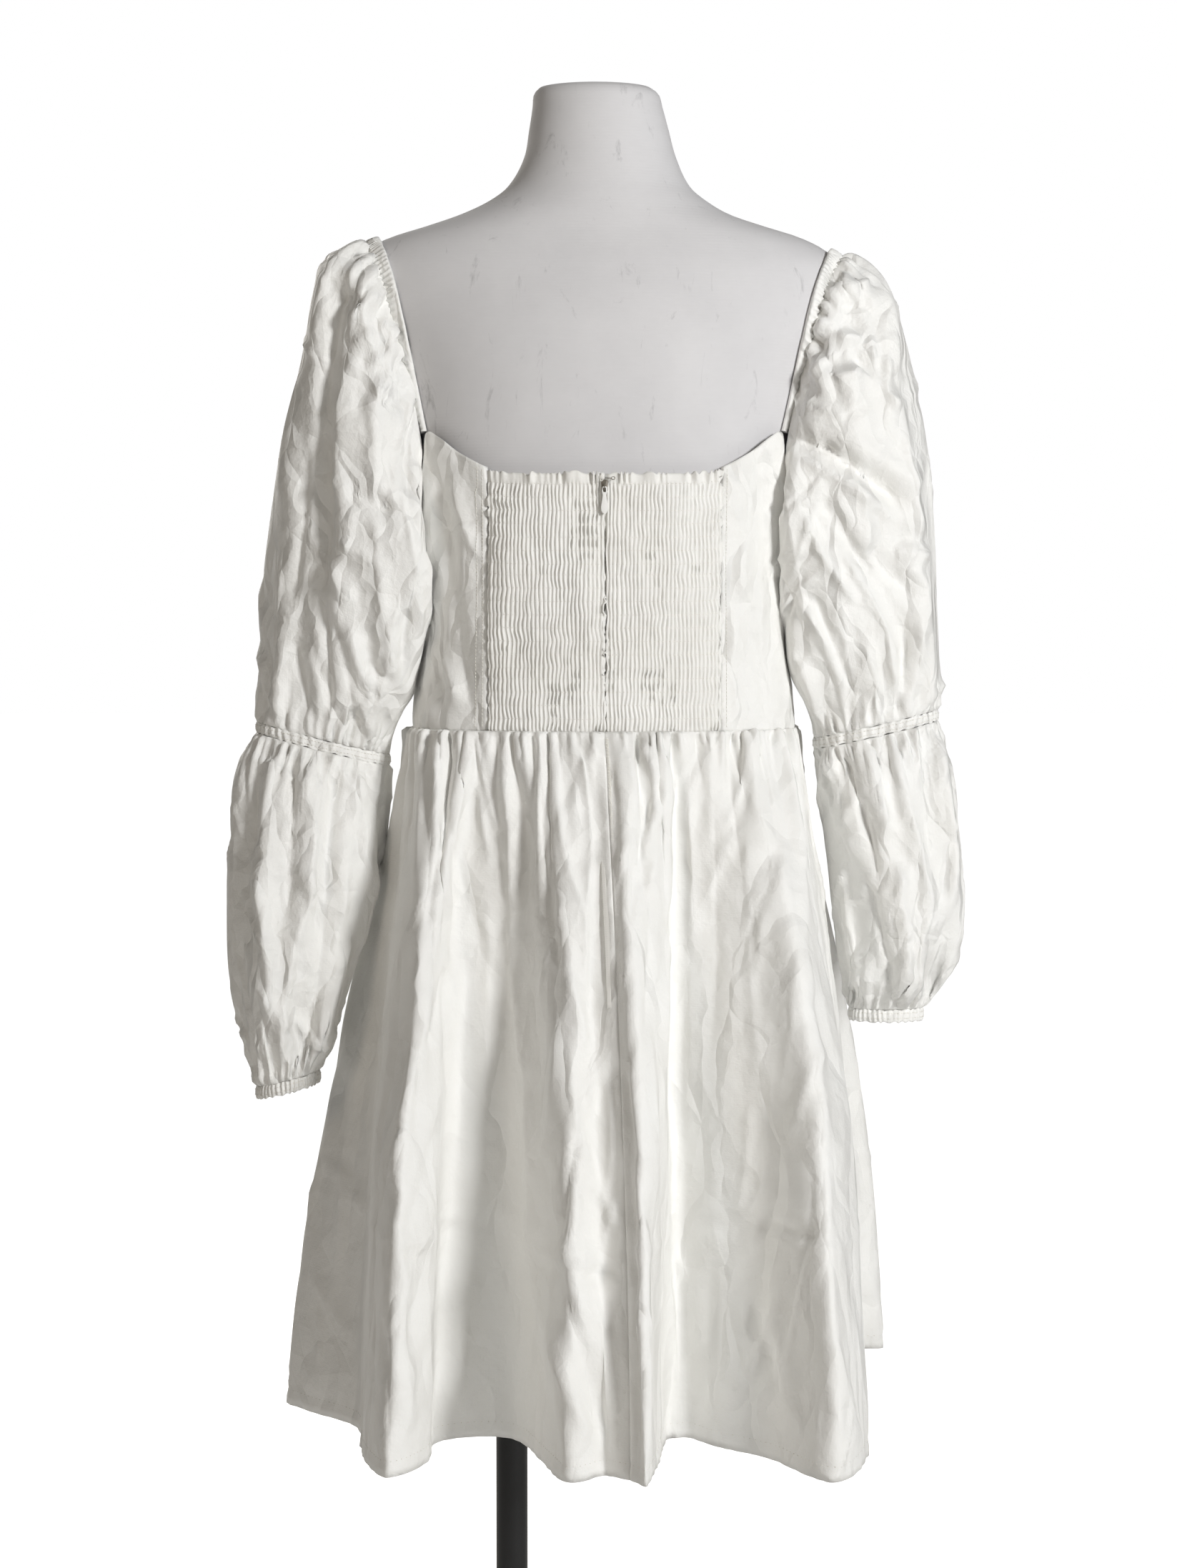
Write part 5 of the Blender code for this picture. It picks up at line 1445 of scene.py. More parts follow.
@dataclass
class Sleeve:
    """One side's neck casing, upper puff, elbow band, lower puff and cuff. side is 1 for +X."""

    side: int
    rings: Sequence[SleeveRing]
    puff: Sequence[PuffRow]
    casing_half_width: float = 0.0045
    casing_half_thick: float = 0.0014
    casing_clearance: float = 0.0013
    casing_start: float = 1.2245
    band_height: float = 0.009
    cuff_height: float = 0.010
    fold: float = 0.0042
    casing_pleats: int = 80
    pleat: float = 0.0013
    band_pleats: int = 44
    clear_of_bodice: float = 130.0
    band_paths: list[Array] = field(default_factory=list)

    def __post_init__(self) -> None:
        """Lays the casing's route over the shoulder."""
        crest = ridge_height(self.side * max(row.out for row in CASING_ROUTE))
        lift = self.casing_half_thick * 1.25 + self.casing_clearance
        route = []
        for row in CASING_ROUTE:
            height = mix(self.casing_start, crest, row.rise)
            on_form = form_side_point(self.side * row.out, height, row.front)
            route.append(on_form + form_normal(on_form) * lift)
        self.route = np.array(route)

    @property
    def word(self) -> str:
        """The wearer's side."""
        return "right" if self.side > 0 else "left"

    @property
    def creases(self) -> tuple[Crease, ...]:
        """The creases that the photograph shows on this side."""
        return RIGHT_SLEEVE_CREASES if self.side > 0 else LEFT_SLEEVE_CREASES

    def casing_frame(self, share: Any) -> tuple[Array, Array, Array]:
        """Points of the casing's middle, the form's normal there and the way to the sleeve."""
        last = len(self.route) - 1
        place = np.asarray(share, float) * last
        point = through(self.route, place)
        ahead = through(self.route, np.minimum(place + 0.05, last))
        behind = through(self.route, np.maximum(place - 0.05, 0))
        along = unit(ahead - behind)
        across = unit(np.cross(along, form_normal(point)))
        across = np.where((across[..., 0] * self.side < 0)[..., None], -across, across)
        return point, unit(np.cross(across, along)) * self.side, across

    def edge_point(self, on: str, place: Array) -> Array:
        """Points of the sleeve's upper edge, on the casing or on the bodice."""
        if on == "casing":
            point, normal, across = self.casing_frame(place)
            tucked = smooth_step(np.minimum(place, 1 - place) / 0.15)[..., None]
            beside = across * self.casing_half_width * mix(0.1, 0.85, tucked)
            return point + beside - normal * self.casing_half_thick * 0.7
        return bodice_point(self.side * place, bodice_edge(place))

    def start_point(self, place: Array) -> Array:
        """The sleeve's upper edge at places in the table of starts."""
        count = len(SLEEVE_STARTS)
        at = np.floor(place).astype(int) % count
        share = (place - np.floor(place))[..., None]
        points = np.zeros((*place.shape, 3))
        for i in range(count):
            first, second = SLEEVE_STARTS[i], SLEEVE_STARTS[(i + 1) % count]
            here = at == i
            if not here.any():
                continue
            part = share[here][..., 0]
            if first.on == second.on:
                points[here] = self.edge_point(first.on, mix(first.place, second.place, part))
            else:
                start = self.edge_point(first.on, np.full(part.shape, first.place))
                end = self.edge_point(second.on, np.full(part.shape, second.place))
                points[here] = mix(start, end, part[..., None])
        return points

    def ring_point(self, ring: Any, turn: Array, inset: Any = 0.0, lift: Any = 0.0) -> Array:
        """Points of a level sleeve ring; turn 0 is outside, 90 at the back."""
        angle = np.radians(turn)
        out = (ring.half_width - inset) * np.cos(angle)
        x = self.side * (ring.out + out)
        y = -ring.back - (ring.half_depth - inset) * np.sin(angle)
        return stacked(x, y, ring.height + ring.tilt * out + lift)

    def upper(self) -> Cloth:
        """The upper puff, from the casing and armhole down to the elbow band."""
        across, down = grid(204, np.linspace(0, 1, 98) ** 1.1, True)
        count = len(SLEEVE_STARTS)
        place = (mirrored(across, self.side) % 1.0) * count
        leave = through(np.array([[row.out, row.back, row.up] for row in SLEEVE_STARTS]), place, closed=True)
        turns = np.array([210.0, *[row.elbow_turn for row in SLEEVE_STARTS], -180.0, -210.0])[:, None]
        elbow_turn = through(turns, place + 1)[..., 0]
        start = self.start_point(place)
        end = self.ring_point(self.rings[0], elbow_turn, 0.0, self.band_height / 2)
        depart = leave * np.array([self.side, -1, 1])
        angle = np.radians(elbow_turn)
        arrive = stacked(self.side * 0.03 * np.cos(angle), 0.0, -0.30)
        points = eased(down[..., None], start, depart, end, arrive)
        lobe = smooth_step((elbow_turn - 65) / 35) * smooth_step((180 - elbow_turn) / 45)
        over_side = np.maximum(-np.cos(angle), 0.0) * (0.5 + 0.5 * np.sin(angle))
        points[..., 0] -= self.side * column(self.puff, "inward", down, "down") * over_side
        beside = smooth_step((180 - np.abs(elbow_turn)) / (180 - self.clear_of_bodice))
        folds = np.sin(3 * angle + 5 * down + self.side) + 0.6 * np.sin(5 * angle - 4 * down)
        relief = column(self.puff, "behind", down, "down") * lobe
        # The cloth leans on the bodice's side
        relief += 0.007 * over_side * smooth_step(8 * down - 0.6) * smooth_step(5 * (1 - down))
        relief += column(self.puff, "outside", down, "down") * np.maximum(np.cos(angle), 0.0)
        relief += self.fold * 0.8 * folds * smooth_step(4 * down) * smooth_step(4 * (1 - down)) * beside
        out = stacked(self.side * np.cos(angle), -np.sin(angle), 0.0)
        points += out * relief[..., None]
        cloth = Cloth(f"sleeve_upper_{self.word}_cloth", points, True, seed=61 + self.side)
        top, bottom = cloth.reach_from_top(), cloth.reach_from_bottom()
        on_casing = smooth_step((place - 2.5) * 2) * smooth_step((9.5 - place) * 2)
        cloth.gather(across, top, 44, 0.0050, (0.030, 0.110), on_casing, 0.011)
        cloth.gather(across, top, 64, 0.0026, (0.014, 0.040), on_casing, 0.008)
        cloth.gather(across, bottom, 34, 0.0034, (0.016, 0.075), 0.25 + 0.75 * beside, 0.005)
        edge = smooth_step(top / 0.012) * smooth_step(bottom / 0.015) * (0.2 + 0.8 * beside)
        cloth.swell((5, 9), 0.0022, edge)
        cloth.press_creases(self.creases, edge)
        cloth.crumple(Crumple(56, (40, 130), (4.5, 11), (1.2, 3.6), 28.0 * self.side, 45.0), edge)
        cloth.crumple(Crumple(90, (15, 50), (3.5, 8), (0.5, 1.5), 0.0, 90.0), edge)
        cloth.turn_in("top", "bottom")
        return cloth

    def lower(self) -> Cloth:
        """The lower puff, from the elbow band down to the cuff."""
        across, down = grid(160, 80, True)
        turn = 180 - 360 * mirrored(across, self.side)
        table = np.array([list(row) for row in self.rings])
        row = through(table, down * (len(self.rings) - 1))
        ring = SleeveRing(*(row[..., i] for i in range(6)))
        trim = -self.band_height / 2 * (1 - smooth_step(3 * down)) + self.cuff_height / 2 * smooth_step(3 * down - 2)
        points = self.ring_point(ring, turn, 0.0, trim)
        angle = np.radians(turn)
        out = stacked(self.side * np.cos(angle), -np.sin(angle), 0.0)
        folds = np.sin(4 * angle + 3 * down - self.side) + 0.5 * np.sin(6 * angle + 2 * down)
        points += out * (self.fold * 0.8 * folds * smooth_step(4 * down) * smooth_step(4 * (1 - down)))[..., None]
        cloth = Cloth(f"sleeve_lower_{self.word}_cloth", points, True, seed=71 + self.side)
        top, bottom = cloth.reach_from_top(), cloth.reach_from_bottom()
        cloth.gather(across, top, 34, 0.0036, (0.018, 0.090), 1.0, 0.005)
        cloth.gather(across, bottom, 32, 0.0030, (0.016, 0.090), 1.0, 0.005)
        edge = smooth_step(top / 0.015) * smooth_step(bottom / 0.015)
        cloth.swell((5, 8), 0.0018, edge)
        cloth.press_creases(self.creases, edge)
        cloth.crumple(Crumple(50, (40, 130), (4.5, 11), (1.2, 3.4), 16.0 * self.side, 35.0), edge)
        cloth.crumple(Crumple(70, (15, 45), (3.5, 7), (0.5, 1.4), 0.0, 90.0), edge)
        cloth.turn_in("top", "bottom")
        return cloth

    def band(self, name: str, ring: SleeveRing, height: float, seed: int) -> Cloth:
        """A gathered elastic band round a level ring, with its two rows of stitches."""
        across, down = grid(240, 10, True)
        turn = 180 - 360 * mirrored(across, self.side)
        points = self.ring_point(ring, turn, 0.0004, mix(height / 2, -height / 2, down))
        cloth = Cloth(name, points, True, seed=seed)
        jitter = soft_field(cloth.rng, cloth.shape, (1, 30), True)
        phase = 2 * math.pi * self.band_pleats * across + 1.4 * jitter
        barrel = 1 - (2 * down - 1) ** 2
        cloth.lift(0.0006 * np.sin(phase) * (0.6 + 0.4 * barrel) + 0.0008 * barrel)
        cloth.points[..., 2] += 0.0006 * np.sin(phase * 0.5 + jitter * 3) * np.abs(2 * down - 1)
        for line in cloth.above(THREAD_UP)[[3, 7]]:
            self.band_paths.append(np.vstack([line, line[:1]]))
        return cloth

    def casing(self, wardrobe: Wardrobe) -> None:
        """The elastic casing along the neckline, a flat tube of cloth in fine gathers."""
        stations, around = 520, 14
        share = np.linspace(0, 1, stations)
        point, normal, across = self.casing_frame(share)
        rng = np.random.default_rng(81 + self.side)
        wobble = soft_field(rng, (stations, 1), (40, 1), False)[:, 0]
        angles = 2 * math.pi * (np.arange(around) + 0.5) / around
        cosine, sine = signed_power(np.cos(angles), 0.6), signed_power(np.sin(angles), 0.75)
        # The pleats slant, and are deepest on the sleeve's side
        phase = 2 * math.pi * self.casing_pleats * share[:, None] + 2.4 * wobble[:, None] + 1.1 * cosine
        deep = 0.62 + 0.38 * cosine
        pleat = self.pleat * deep * (0.8 + 0.4 * wobble[:, None]) * (1 - 2 * np.abs(np.sin(phase / 2)))
        wide = self.casing_half_width * (1.22 + 0.06 * wobble)[:, None] + 0.8 * pleat * (cosine > 0)
        flat = np.where(sine > 0, 0.0021, 0.0026) * sine + pleat * (sine > 0)
        rings = point[:, None] + across[:, None] * (wide * cosine)[..., None]
        rings = rings + normal[:, None] * flat[..., None]
        piece = mesh_piece(f"neck_casing_{self.word}_cloth", loft(rings), wardrobe.cotton, 80.0)
        mount(piece, [f"neck_casing_{self.word}"])

    def build(self, wardrobe: Wardrobe) -> None:
        """Makes the whole side."""
        self.casing(wardrobe)
        upper_flat, lower_flat = ((0.50, 0.34), (0.42, 0.29)) if self.side < 0 else ((0.50, 0.33), (0.40, 0.26))
        for node, sewn, flat, above in (
            ("sleeve_upper", self.upper, upper_flat, "neck_casing"),
            ("sleeve_lower", self.lower, lower_flat, "sleeve_upper"),
        ):
            piece = mount(sewn().build(wardrobe.cotton), [f"{node}_{self.word}"])
        for piece, ring, height, seed in (
            ("elbow_band", self.rings[0], self.band_height, 91),
            ("cuff", self.rings[-1], self.cuff_height, 95),
        ):
            cloth = self.band(f"{piece}_{self.word}_cloth", ring, height, seed + self.side)
            obj = mount(cloth.build(wardrobe.cotton, 0.0009), [f"{piece}_{self.word}"])
        stitch = PathRepeat(Repeat.STITCH, 0.0030, 0.0020, 0.00022)
        mount(stitch.along(f"band_stitches_{self.word}", self.band_paths, wardrobe.thread))
        LOG.info("%s sleeve done", self.word)


# Zip


@dataclass
class Zip:
    """The concealed zip: tape, coil, slider, pull tab, and the hook and eye over it."""

    skirt: Skirt
    top: float = 1.187
    tape_half_width: float = 0.008
    behind: float = 0.0024
    pivot: tuple[float, float, float] = (0.0, -0.10561, 1.18)
    pivot_off: float = 0.0011
    slider_size: tuple[float, float, float] = (0.0056, 0.0016, 0.0095)
    bail_radius: float = 0.0022
    wire_radius: float = 0.0004
    pull_thick: float = 0.0010
    pull_edge: float = 0.0002
    hook_height: float = 1.1868
    hook_radius: float = 0.00028

    def seam_line(self) -> Array:
        """The middle of the zip on the cloth's outer face, from its top down into the skirt."""
        heights = np.linspace(self.top, 0.9965, 60)
        upper = bodice_point(np.zeros(60), heights)
        share = self.skirt.fold_share(CENTRE_BACK_FOLD)
        lower = self.skirt.base(np.full(60, share), np.linspace(0.004, 0.375, 60))
        return np.vstack([upper, lower])

    def tape(self, wardrobe: Wardrobe) -> None:
        """The tape and the coil's teeth behind the seam."""
        line = self.seam_line()
        fall = unit(np.gradient(line, axis=0))
        over = np.array([1.0, 0.0, 0.0])
        out = unit(np.cross(fall, over))
        offsets = np.linspace(-self.tape_half_width, self.tape_half_width, 13)
        points = line[:, None] - out[:, None] * self.behind + over * offsets[None, :, None]
        points = points - out[:, None] * (0.0022 * (np.abs(offsets) / self.tape_half_width) ** 2)[None, :, None]
        cloth = Cloth("zip_tape_cloth", points, seed=101)
        piece = mount(cloth.build(wardrobe.tape, 0.0007), ["zip_tape"])
        coil = PathRepeat(Repeat.TOOTH, 0.0012, 0.0030, 0.00045)
        teeth = coil.along("zip_coil", [line - out * (self.behind - 0.0007)], wardrobe.coil)
        mount(teeth)

    def slider(self, wardrobe: Wardrobe) -> None:
        """The slider's waisted body with its rails and bail."""
        wide, thick, tall = self.slider_size
        x, y, z = self.pivot
        face = y + self.pivot_off
        outline = []
        for i in range(40):
            angle = 2 * math.pi * i / 40
            px = wide / 2 * float(signed_power(math.cos(angle), 0.55))
            pz = tall / 2 * float(signed_power(math.sin(angle), 0.6))
            waist = 1 - 0.16 * math.exp(-((pz / (tall * 0.22)) ** 2))
            outline.append((px * waist, pz))
        rings = []
        for share, inset in ((0.0, 0.82), (0.12, 0.93), (0.3, 1.0), (0.8, 1.0), (1.0, 0.94)):
            depth = face + thick * share
            rings.append([(x + px * inset, depth, z + 0.0010 + pz * inset) for px, pz in outline])
        body = mesh_piece("zip_slider_body", loft(np.array(rings)), wardrobe.slider, 50.0)
        mount(body, ["zip_slider"])
        angles = np.linspace(0, math.pi, 15)
        arc = stacked(x, y - self.bail_radius * np.sin(angles), z - self.bail_radius * np.cos(angles))
        ends = stacked(x, face + thick / 2, np.array([z - self.bail_radius, z + self.bail_radius]))
        bail = wire_piece("zip_slider_bail", np.vstack([ends[:1], arc, ends[1:]]), self.wire_radius, wardrobe.slider)
        mount(bail)

    def pull(self, wardrobe: Wardrobe) -> None:
        """The drop-shaped pull tab, which turns in the bail."""
        widths = (
            (-0.0006, 0.0012),
            (0.0000, 0.0020),
            (0.0020, 0.0022),
            (0.0042, 0.0018),
            (0.0060, 0.0013),
            (0.0090, 0.0017),
            (0.0125, 0.0024),
            (0.0155, 0.0027),
            (0.0180, 0.0023),
            (0.0195, 0.0012),
            (0.0200, 0.0000),
        )
        down, half = np.array(widths).T
        steps = np.concatenate([np.linspace(-0.0006, 0.018, 26), np.linspace(0.0183, 0.01998, 9)])
        smooth = np.interp(steps, down, half)
        smooth[3:24] = (smooth[2:23] + 2 * smooth[3:24] + smooth[4:25]) / 4
        outline = [(w, -d) for d, w in zip(steps, smooth)] + [(-w, -d) for d, w in zip(steps[::-1], smooth[::-1])]
        slot = [(-0.0010, -0.0036), (-0.0010, -0.0005), (0.0010, -0.0005), (0.0010, -0.0036)]
        paths = [np.array([(x, y, 0.0) for x, y in points]) for points in (outline, slot)]
        plate = {"dimensions": "2D", "fill_mode": "BOTH", "extrude": self.pull_thick / 2 - self.pull_edge}
        edge = {"bevel_depth": self.pull_edge, "bevel_resolution": 2, "offset": -self.pull_edge}
        shape = joined_shape(mesh_from(curve_holder("pull_outline", paths, True, **plate, **edge)))
        place = Matrix.Translation(self.pivot) @ Matrix.Rotation(math.radians(90), 4, "X")
        bmesh.ops.transform(shape, matrix=place, verts=shape.verts)
        bmesh.ops.recalc_face_normals(shape, faces=shape.faces)
        mount(mesh_piece("zip_pull_tab", shape, wardrobe.pull, 35.0), ["zip_pull"], PULL)

    def hook(self, wardrobe: Wardrobe) -> None:
        """The small wire hook and its thread eye at the top of the back."""
        y, z = float(bodice_point(0.0, self.top)[1]) - 0.0042, self.hook_height
        turns = np.linspace(0, 2 * math.pi, 24, endpoint=False)
        loop = stacked(0.0065 + 0.0013 * np.cos(turns), y + 0.0004 * np.sin(turns), z + 0.0011 * np.sin(turns))
        mount(wire_piece("hook_loop", loop, self.hook_radius, wardrobe.wire, True))
        bend = np.linspace(0, math.pi, 12)
        shank = stacked(np.linspace(0.0052, 0.0012, 8), y, z)
        nose = stacked(0.0012 - 0.0009 * np.sin(bend), y - 0.0005 * (1 - np.cos(bend)), z)
        back = stacked(np.linspace(0.0012, 0.0030, 5), y - 0.0010, z)
        path = np.vstack([shank, nose, back])
        mount(wire_piece("hook_wire", path, self.hook_radius, wardrobe.wire))
        eye = stacked(-0.0022 + 0.0012 * np.cos(turns), y + 0.0003, z + 0.0022 * np.sin(turns))
        mount(wire_piece("thread_eye", eye, 0.00030, wardrobe.thread, True))

    def build(self, wardrobe: Wardrobe) -> None:
        """Makes the zip."""
        self.tape(wardrobe)
        self.slider(wardrobe)
        self.pull(wardrobe)
        self.hook(wardrobe)
        LOG.info("zip done")


# Creases that the photograph shows

BODICE_CREASES = table(
    Crease,
    (399, 430, 404, 590, 7, 1.6, 2),
    (412, 455, 424, 560, 6, -1.2, 3),
    (424, 450, 446, 520, 5, 1.1, -3),
    (405, 600, 428, 655, 6, 1.2, 2),
    (430, 570, 440, 668, 6, -1.0, -3),
    (396, 520, 412, 668, 6, -1.4, 4),
    (690, 445, 694, 560, 7, 1.5, 2),
    (716, 420, 724, 560, 7, -1.9, -3),
    (734, 430, 736, 600, 6, 1.6, 1),
    (686, 560, 690, 668, 6, 1.3, -2),
    (704, 590, 716, 668, 6, -1.4, 2),
    (722, 590, 736, 662, 5, 1.2, 2),
)
SKIRT_CREASES = table(
    Crease,
    # Left crest
    (436, 716, 402, 905, 8, 2.6, -3),
    (402, 905, 384, 1010, 7, 2.4, 3),
    (418, 905, 399, 980, 5, -2.2, 2),
    (389, 1000, 369, 1110, 7, 2.2, -3),
    (410, 1050, 380, 1150, 5, -1.6, 3),
    (369, 1140, 377, 1215, 5, 1.8, 2),
    (377, 1215, 384, 1335, 7, 1.9, -3),
    (398, 1195, 372, 1290, 5, -1.4, -2),
    (355, 1235, 362, 1350, 6, -1.6, 3),
    (372, 1168, 404, 1180, 3.5, -1.5, 1),
    # Left strip
    (300, 1085, 342, 1132, 5, 1.3, 4),
    (290, 1180, 330, 1250, 5, 1.2, -4),
    (318, 980, 306, 1160, 8, -1.3, 4),
    # Grey valley
    (436, 900, 420, 1120, 9, -1.4, 3),
    (455, 820, 452, 1010, 9, 1.3, 3),
    (412, 1150, 470, 1140, 3, -0.9, 2),
    (440, 1180, 428, 1320, 9, 1.2, -3),
    # Middle crest
    (470, 715, 478, 850, 6, 2.4, 3),
    (478, 850, 492, 1010, 7, 2.2, -3),
    (492, 1010, 497, 1180, 6, 2.2, 2),
    (508, 740, 520, 905, 6, -2.0, -3),
    (528, 905, 548, 985, 5, 1.7, 3),
    (545, 1040, 510, 1186, 4, -2.8, 2),
    (556, 1000, 533, 1130, 5, 1.9, -3),
    (520, 960, 505, 1090, 6, 1.6, 3),
    (500, 1192, 549, 1342, 5, 2.6, -4),
    (521, 1192, 566, 1340, 5, -2.0, 3),
    (497, 1250, 520, 1372, 6, -1.7, 3),
    (556, 1200, 570, 1374, 5, 1.6, 3),
    (494, 1184, 592, 1192, 3.2, -1.8, -2),
    (545, 1100, 592, 1168, 4, 1.5, 3),
    # Centre
    (541, 700, 552, 800, 5, 2.4, 3),
    (552, 800, 547, 930, 6, 2.2, -3),
    (568, 700, 576, 960, 3.5, -2.0, 0),
    (576, 960, 596, 1378, 6, -3.2, 3),
    (588, 706, 604, 800, 5, 2.0, -2),
    (603, 742, 590, 860, 5, -2.4, 2),
    (604, 960, 612, 1200, 6, 2.2, 2),
    (598, 1200, 612, 1378, 6, 2.0, -3),
    (583, 1005, 611, 1160, 4.5, -1.6, -2),
    # Double ridge right of the centre
    (622, 706, 620, 860, 5, 2.6, 2),
    (620, 860, 622, 1190, 6, 3.0, -1),
    (632, 715, 631, 1060, 4, -2.4, 1),
    (622, 1190, 634, 1370, 6, 2.2, 2),
    (640, 730, 650, 880, 6, 1.6, 2),
    # Wide valley
    (641, 900, 690, 880, 4, -1.2, -3),
    (668, 740, 664, 980, 9, -1.6, 3),
    (700, 760, 712, 1010, 10, 1.5, -4),
    (642, 1143, 774, 1156, 3, -1.5, 2),
    (700, 1030, 690, 1140, 7, 1.0, 3),
    (722, 1180, 742, 1330, 8, 1.2, -4),
    (664, 1180, 652, 1330, 8, -1.1, 4),
    (700, 1220, 722, 1290, 5, -1.1, 3),
    # Right crest
    (750, 880, 770, 1080, 8, 2.0, 3),
    (770, 1080, 786, 1370, 8, 2.2, -3),
    (744, 720, 752, 880, 6, 1.8, 2),
    (795, 1170, 812, 1330, 5, -1.7, 3),
    (806, 1180, 820, 1250, 4, 1.5, 2),
    (760, 930, 790, 1010, 5, -1.6, -3),
    (776, 1250, 800, 1350, 5, 1.5, 3),
)
LEFT_SLEEVE_CREASES = table(
    Crease,
    # Puckers below the casing
    (352, 250, 330, 276, 4, 2.2, 2),
    (358, 275, 325, 301, 4, 2.4, -2),
    (362, 300, 333, 321, 4, 2.2, 2),
    (368, 325, 344, 346, 4, 2.2, -2),
    (375, 350, 349, 366, 4, 2.0, 1),
    (344, 262, 316, 282, 4, -1.8, 2),
    (378, 372, 352, 384, 4, -1.6, -1),
    # The valley and the lit lobe
    (322, 256, 303, 400, 8, -4.0, -4),
    (303, 400, 298, 560, 9, -4.2, 3),
    (298, 560, 306, 670, 8, -3.4, 3),
    (332, 330, 318, 470, 8, 2.4, -5),
    (345, 372, 350, 470, 14, 2.6, 3),
    (326, 462, 366, 476, 5, -2.0, 4),
    (300, 520, 326, 562, 5, 2.2, 2),
    (330, 592, 346, 642, 5, 2.2, -3),
    (340, 620, 365, 641, 4, -1.8, 2),
    (352, 490, 372, 640, 7, 2.2, -4),
    (312, 580, 330, 680, 6, -2.0, 4),
    (372, 560, 344, 690, 6, 1.9, 3),
    (306, 252, 294, 330, 6, 2.2, -3),
    (276, 350, 264, 470, 7, 2.0, -3),
    (286, 420, 272, 560, 6, -2.2, 3),
    (262, 520, 258, 660, 7, 2.0, 3),
    (274, 600, 286, 668, 5, -1.8, 2),
    (318, 508, 352, 530, 5, 1.6, 3),
    # Lower sleeve
    (258, 706, 246, 850, 7, 2.8, -3),
    (272, 700, 268, 860, 6, -2.8, 3),
    (296, 705, 284, 880, 7, 2.8, 3),
    (318, 720, 306, 850, 6, -2.4, -3),
    (334, 720, 340, 840, 7, 2.4, 3),
    (240, 800, 250, 960, 6, 2.2, 3),
    (282, 850, 262, 985, 7, 2.6, -3),
    (306, 860, 282, 990, 6, -2.4, 3),
    (352, 760, 334, 900, 6, 2.2, 3),
    (326, 880, 298, 990, 6, 2.2, -3),
    (238, 930, 256, 1005, 5, -2.0, 2),
)
RIGHT_SLEEVE_CREASES = table(
    Crease,
    (742, 407, 846, 469, 8, -4.6, 5),
    (748, 428, 836, 486, 7, 3.0, 5),
    (770, 350, 802, 346, 5, 2.6, -3),
    (800, 345, 842, 382, 6, 3.0, 4),
    (800, 330, 836, 371, 5, -2.4, -3),
    (768, 300, 806, 318, 5, 2.4, -3),
    (764, 322, 796, 300, 4, -2.2, 2),
    (758, 352, 782, 330, 4, 2.2, 2),
    (782, 268, 812, 262, 4, 2.2, -2),
    (786, 286, 818, 290, 4, -2.0, 2),
    (752, 378, 790, 392, 5, 2.0, 3),
    (826, 270, 838, 350, 6, 2.4, 3),
    (846, 330, 856, 440, 7, -2.4, 3),
    (848, 400, 862, 500, 6, 2.4, -3),
    (750, 480, 800, 562, 6, 2.8, -4),
    (768, 470, 812, 540, 5, -2.6, 3),
    (790, 520, 832, 602, 6, 2.8, 4),
    (812, 510, 862, 560, 5, -2.4, -4),
    (836, 516, 870, 520, 6, 2.6, 3),
    (830, 600, 851, 671, 6, 2.6, -3),
    (846, 580, 838, 668, 5, -2.4, 3),
    (745, 560, 790, 642, 6, 2.6, 4),
    (762, 556, 806, 660, 5, -2.4, -4),
    (742, 610, 764, 672, 5, 2.2, 3),
    (808, 606, 822, 670, 5, 2.2, 3),
    (862, 540, 870, 650, 5, 2.0, 3),
    # Lower sleeve
    (770, 700, 800, 800, 7, 2.8, -4),
    (784, 700, 822, 830, 6, -2.8, 4),
    (812, 690, 832, 780, 6, 2.6, -3),
    (832, 700, 868, 850, 7, 2.8, 4),
    (860, 690, 872, 800, 6, -2.4, 3),
    (876, 700, 892, 850, 6, 2.4, 4),
    (790, 800, 812, 940, 7, 2.6, -4),
    (806, 820, 836, 945, 6, -2.6, 4),
    (838, 800, 846, 940, 7, 2.6, 4),
    (868, 850, 858, 935, 6, 2.4, -3),
    (886, 860, 874, 925, 5, -2.0, 2),
    (800, 900, 850, 872, 5, 2.0, 4),
)


# Studio


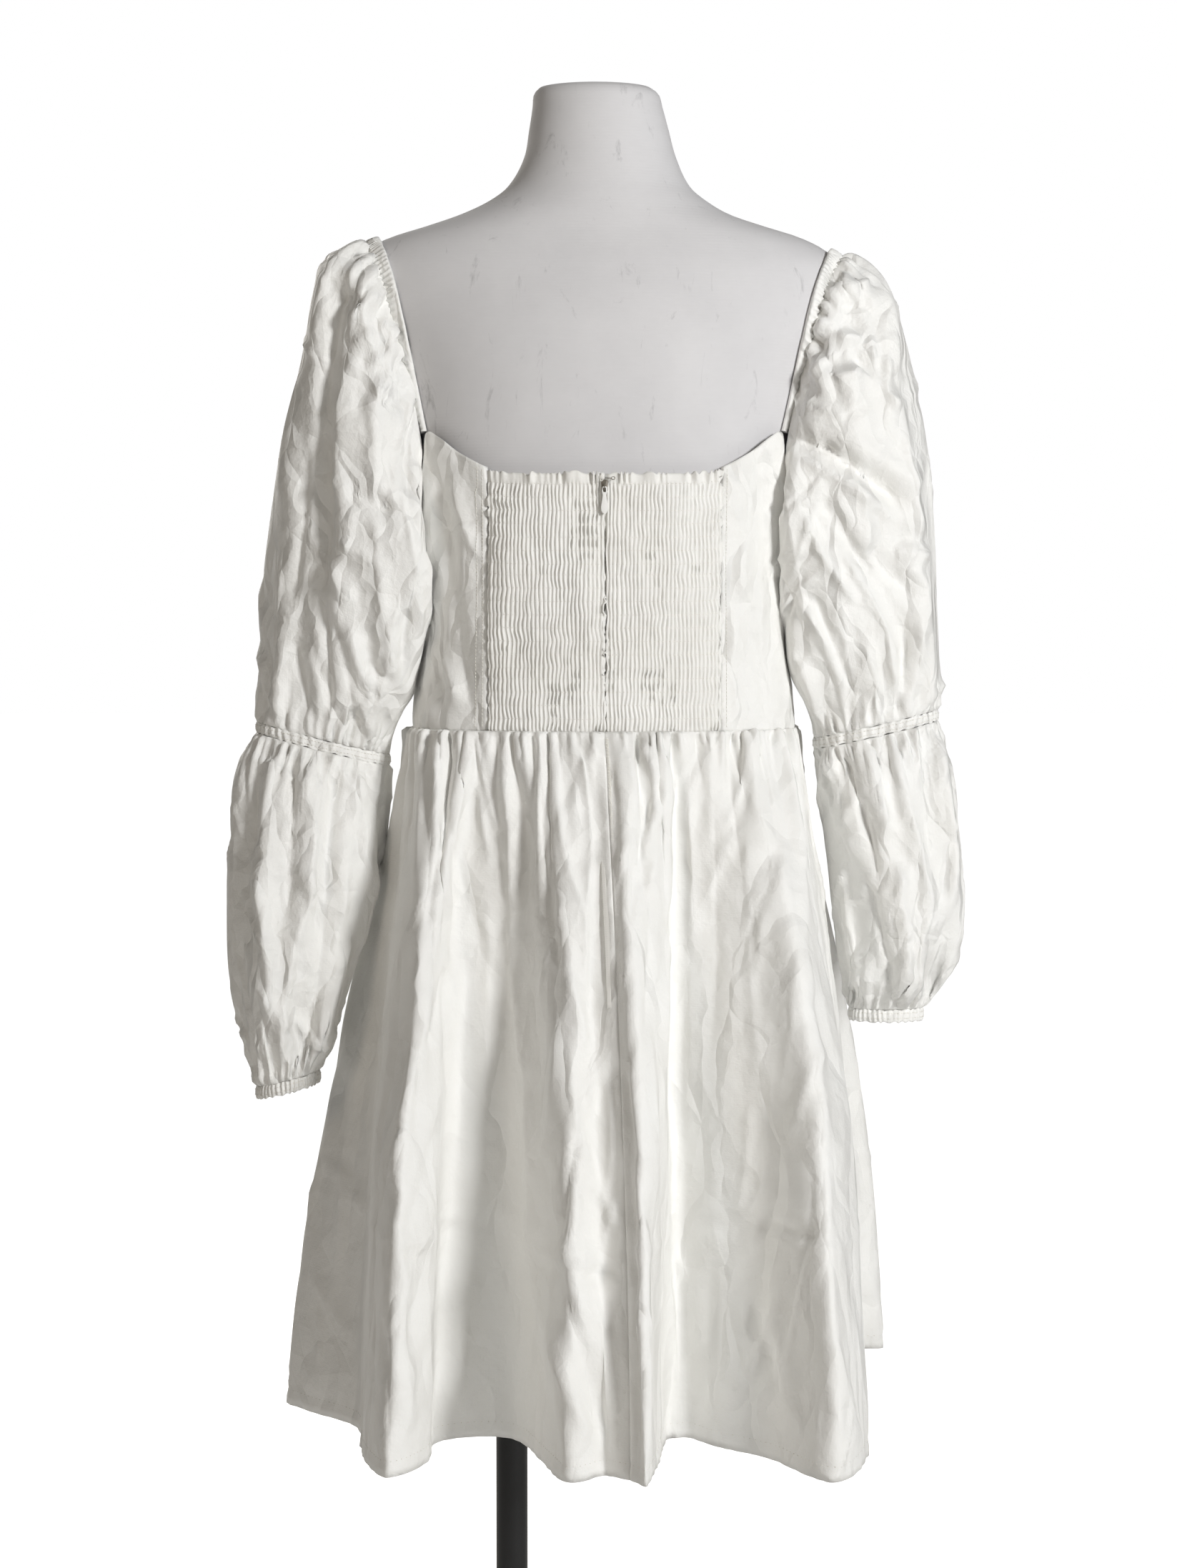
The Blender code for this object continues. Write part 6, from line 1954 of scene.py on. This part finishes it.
@dataclass
class Studio:
    """A plain pale floor, soft light mostly from the right, and the camera."""

    floor_half: float = 30.0
    floor_glow: float = 0.92
    air_strength: float = 0.15
    aim_height: float = 0.95

    def floor(self) -> None:
        """The floor, which isn't part of the object: white to the camera but for soft shadows."""
        shape = bmesh.new()
        bmesh.ops.create_grid(shape, x_segments=1, y_segments=1, size=self.floor_half)
        finish = Finish("white_studio_floor")
        seen = finish.node("LightPath", "Is Camera Ray")
        material = finish.done(
            Base_Color=colour("#F4F3F1"),
            Roughness=0.9,
            Emission_Color=colour("#FFFFFF"),
            Emission_Strength=finish.node("Math", 0, {0: seen, 1: self.floor_glow}, operation="MULTIPLY"),
        )
        mesh_piece("studio_floor", shape, material)

    def lamp(self, name: str, place: tuple[float, float, float], size: float, power: float, tint: str) -> None:
        """A square soft lamp that looks at the dress."""
        data = bpy.data.lights.new(name, "AREA")
        data.shape = "SQUARE"
        data.size = size
        data.energy = power
        data.color = colour(tint)[:3]
        lamp = linked(name, data)
        lamp.location = place
        look = Vector((0.0, 0.0, self.aim_height)) - Vector(place)
        lamp.rotation_euler = look.to_track_quat("-Z", "Y").to_euler()

    def air(self) -> None:
        """A soft even light from all round, behind which the camera sees plain white."""
        world = bpy.data.worlds.new("studio_air")
        world.use_nodes = True
        tree = world.node_tree
        sky = tree.nodes["Background"]
        sky.inputs["Color"].default_value = colour("#FDFBF6")
        sky.inputs["Strength"].default_value = self.air_strength
        white = add_node(tree, "ShaderNodeBackground", {"Color": colour("#FFFFFF"), "Strength": 1.0})
        seen = add_node(tree, "ShaderNodeLightPath")
        both = add_node(tree, "ShaderNodeMixShader", {0: seen.outputs["Is Camera Ray"]})
        tree.links.new(sky.outputs[0], both.inputs[1])
        tree.links.new(white.outputs[0], both.inputs[2])
        tree.links.new(both.outputs[0], tree.nodes["World Output"].inputs["Surface"])
        bpy.context.scene.world = world

    def build(self) -> None:
        """Makes the floor, the light and the camera."""
        self.floor()
        self.lamp("key_right", (1.8, -2.3, 1.9), 0.5, 64.0, "#FFFFFF")
        self.lamp("fill_left", (-2.0, -2.1, 2.0), 0.9, 7.0, "#FFEED8")
        self.lamp("fill_front", (-1.2, 2.6, 2.0), 1.4, 34.0, "#FFFCF6")
        self.air()
        bpy.context.scene.view_settings.view_transform = "Standard"
        VIEW.make_camera()


def main() -> None:
    """Builds the dress, its form and the studio, and reports each piece."""
    logging.basicConfig(level=logging.INFO, format="%(name)s: %(message)s")
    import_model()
    Studio().build()
    wardrobe = Wardrobe()
    DressForm().build(wardrobe)
    Stand().build(wardrobe)
    Bodice().build(wardrobe)
    skirt = Skirt()
    skirt.build(wardrobe)
    Sleeve(-1, LEFT_SLEEVE, LEFT_PUFF).build(wardrobe)
    Sleeve(1, RIGHT_SLEEVE, RIGHT_PUFF).build(wardrobe)
    Zip(skirt).build(wardrobe)
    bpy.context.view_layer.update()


if __name__ == "__main__":
    main()
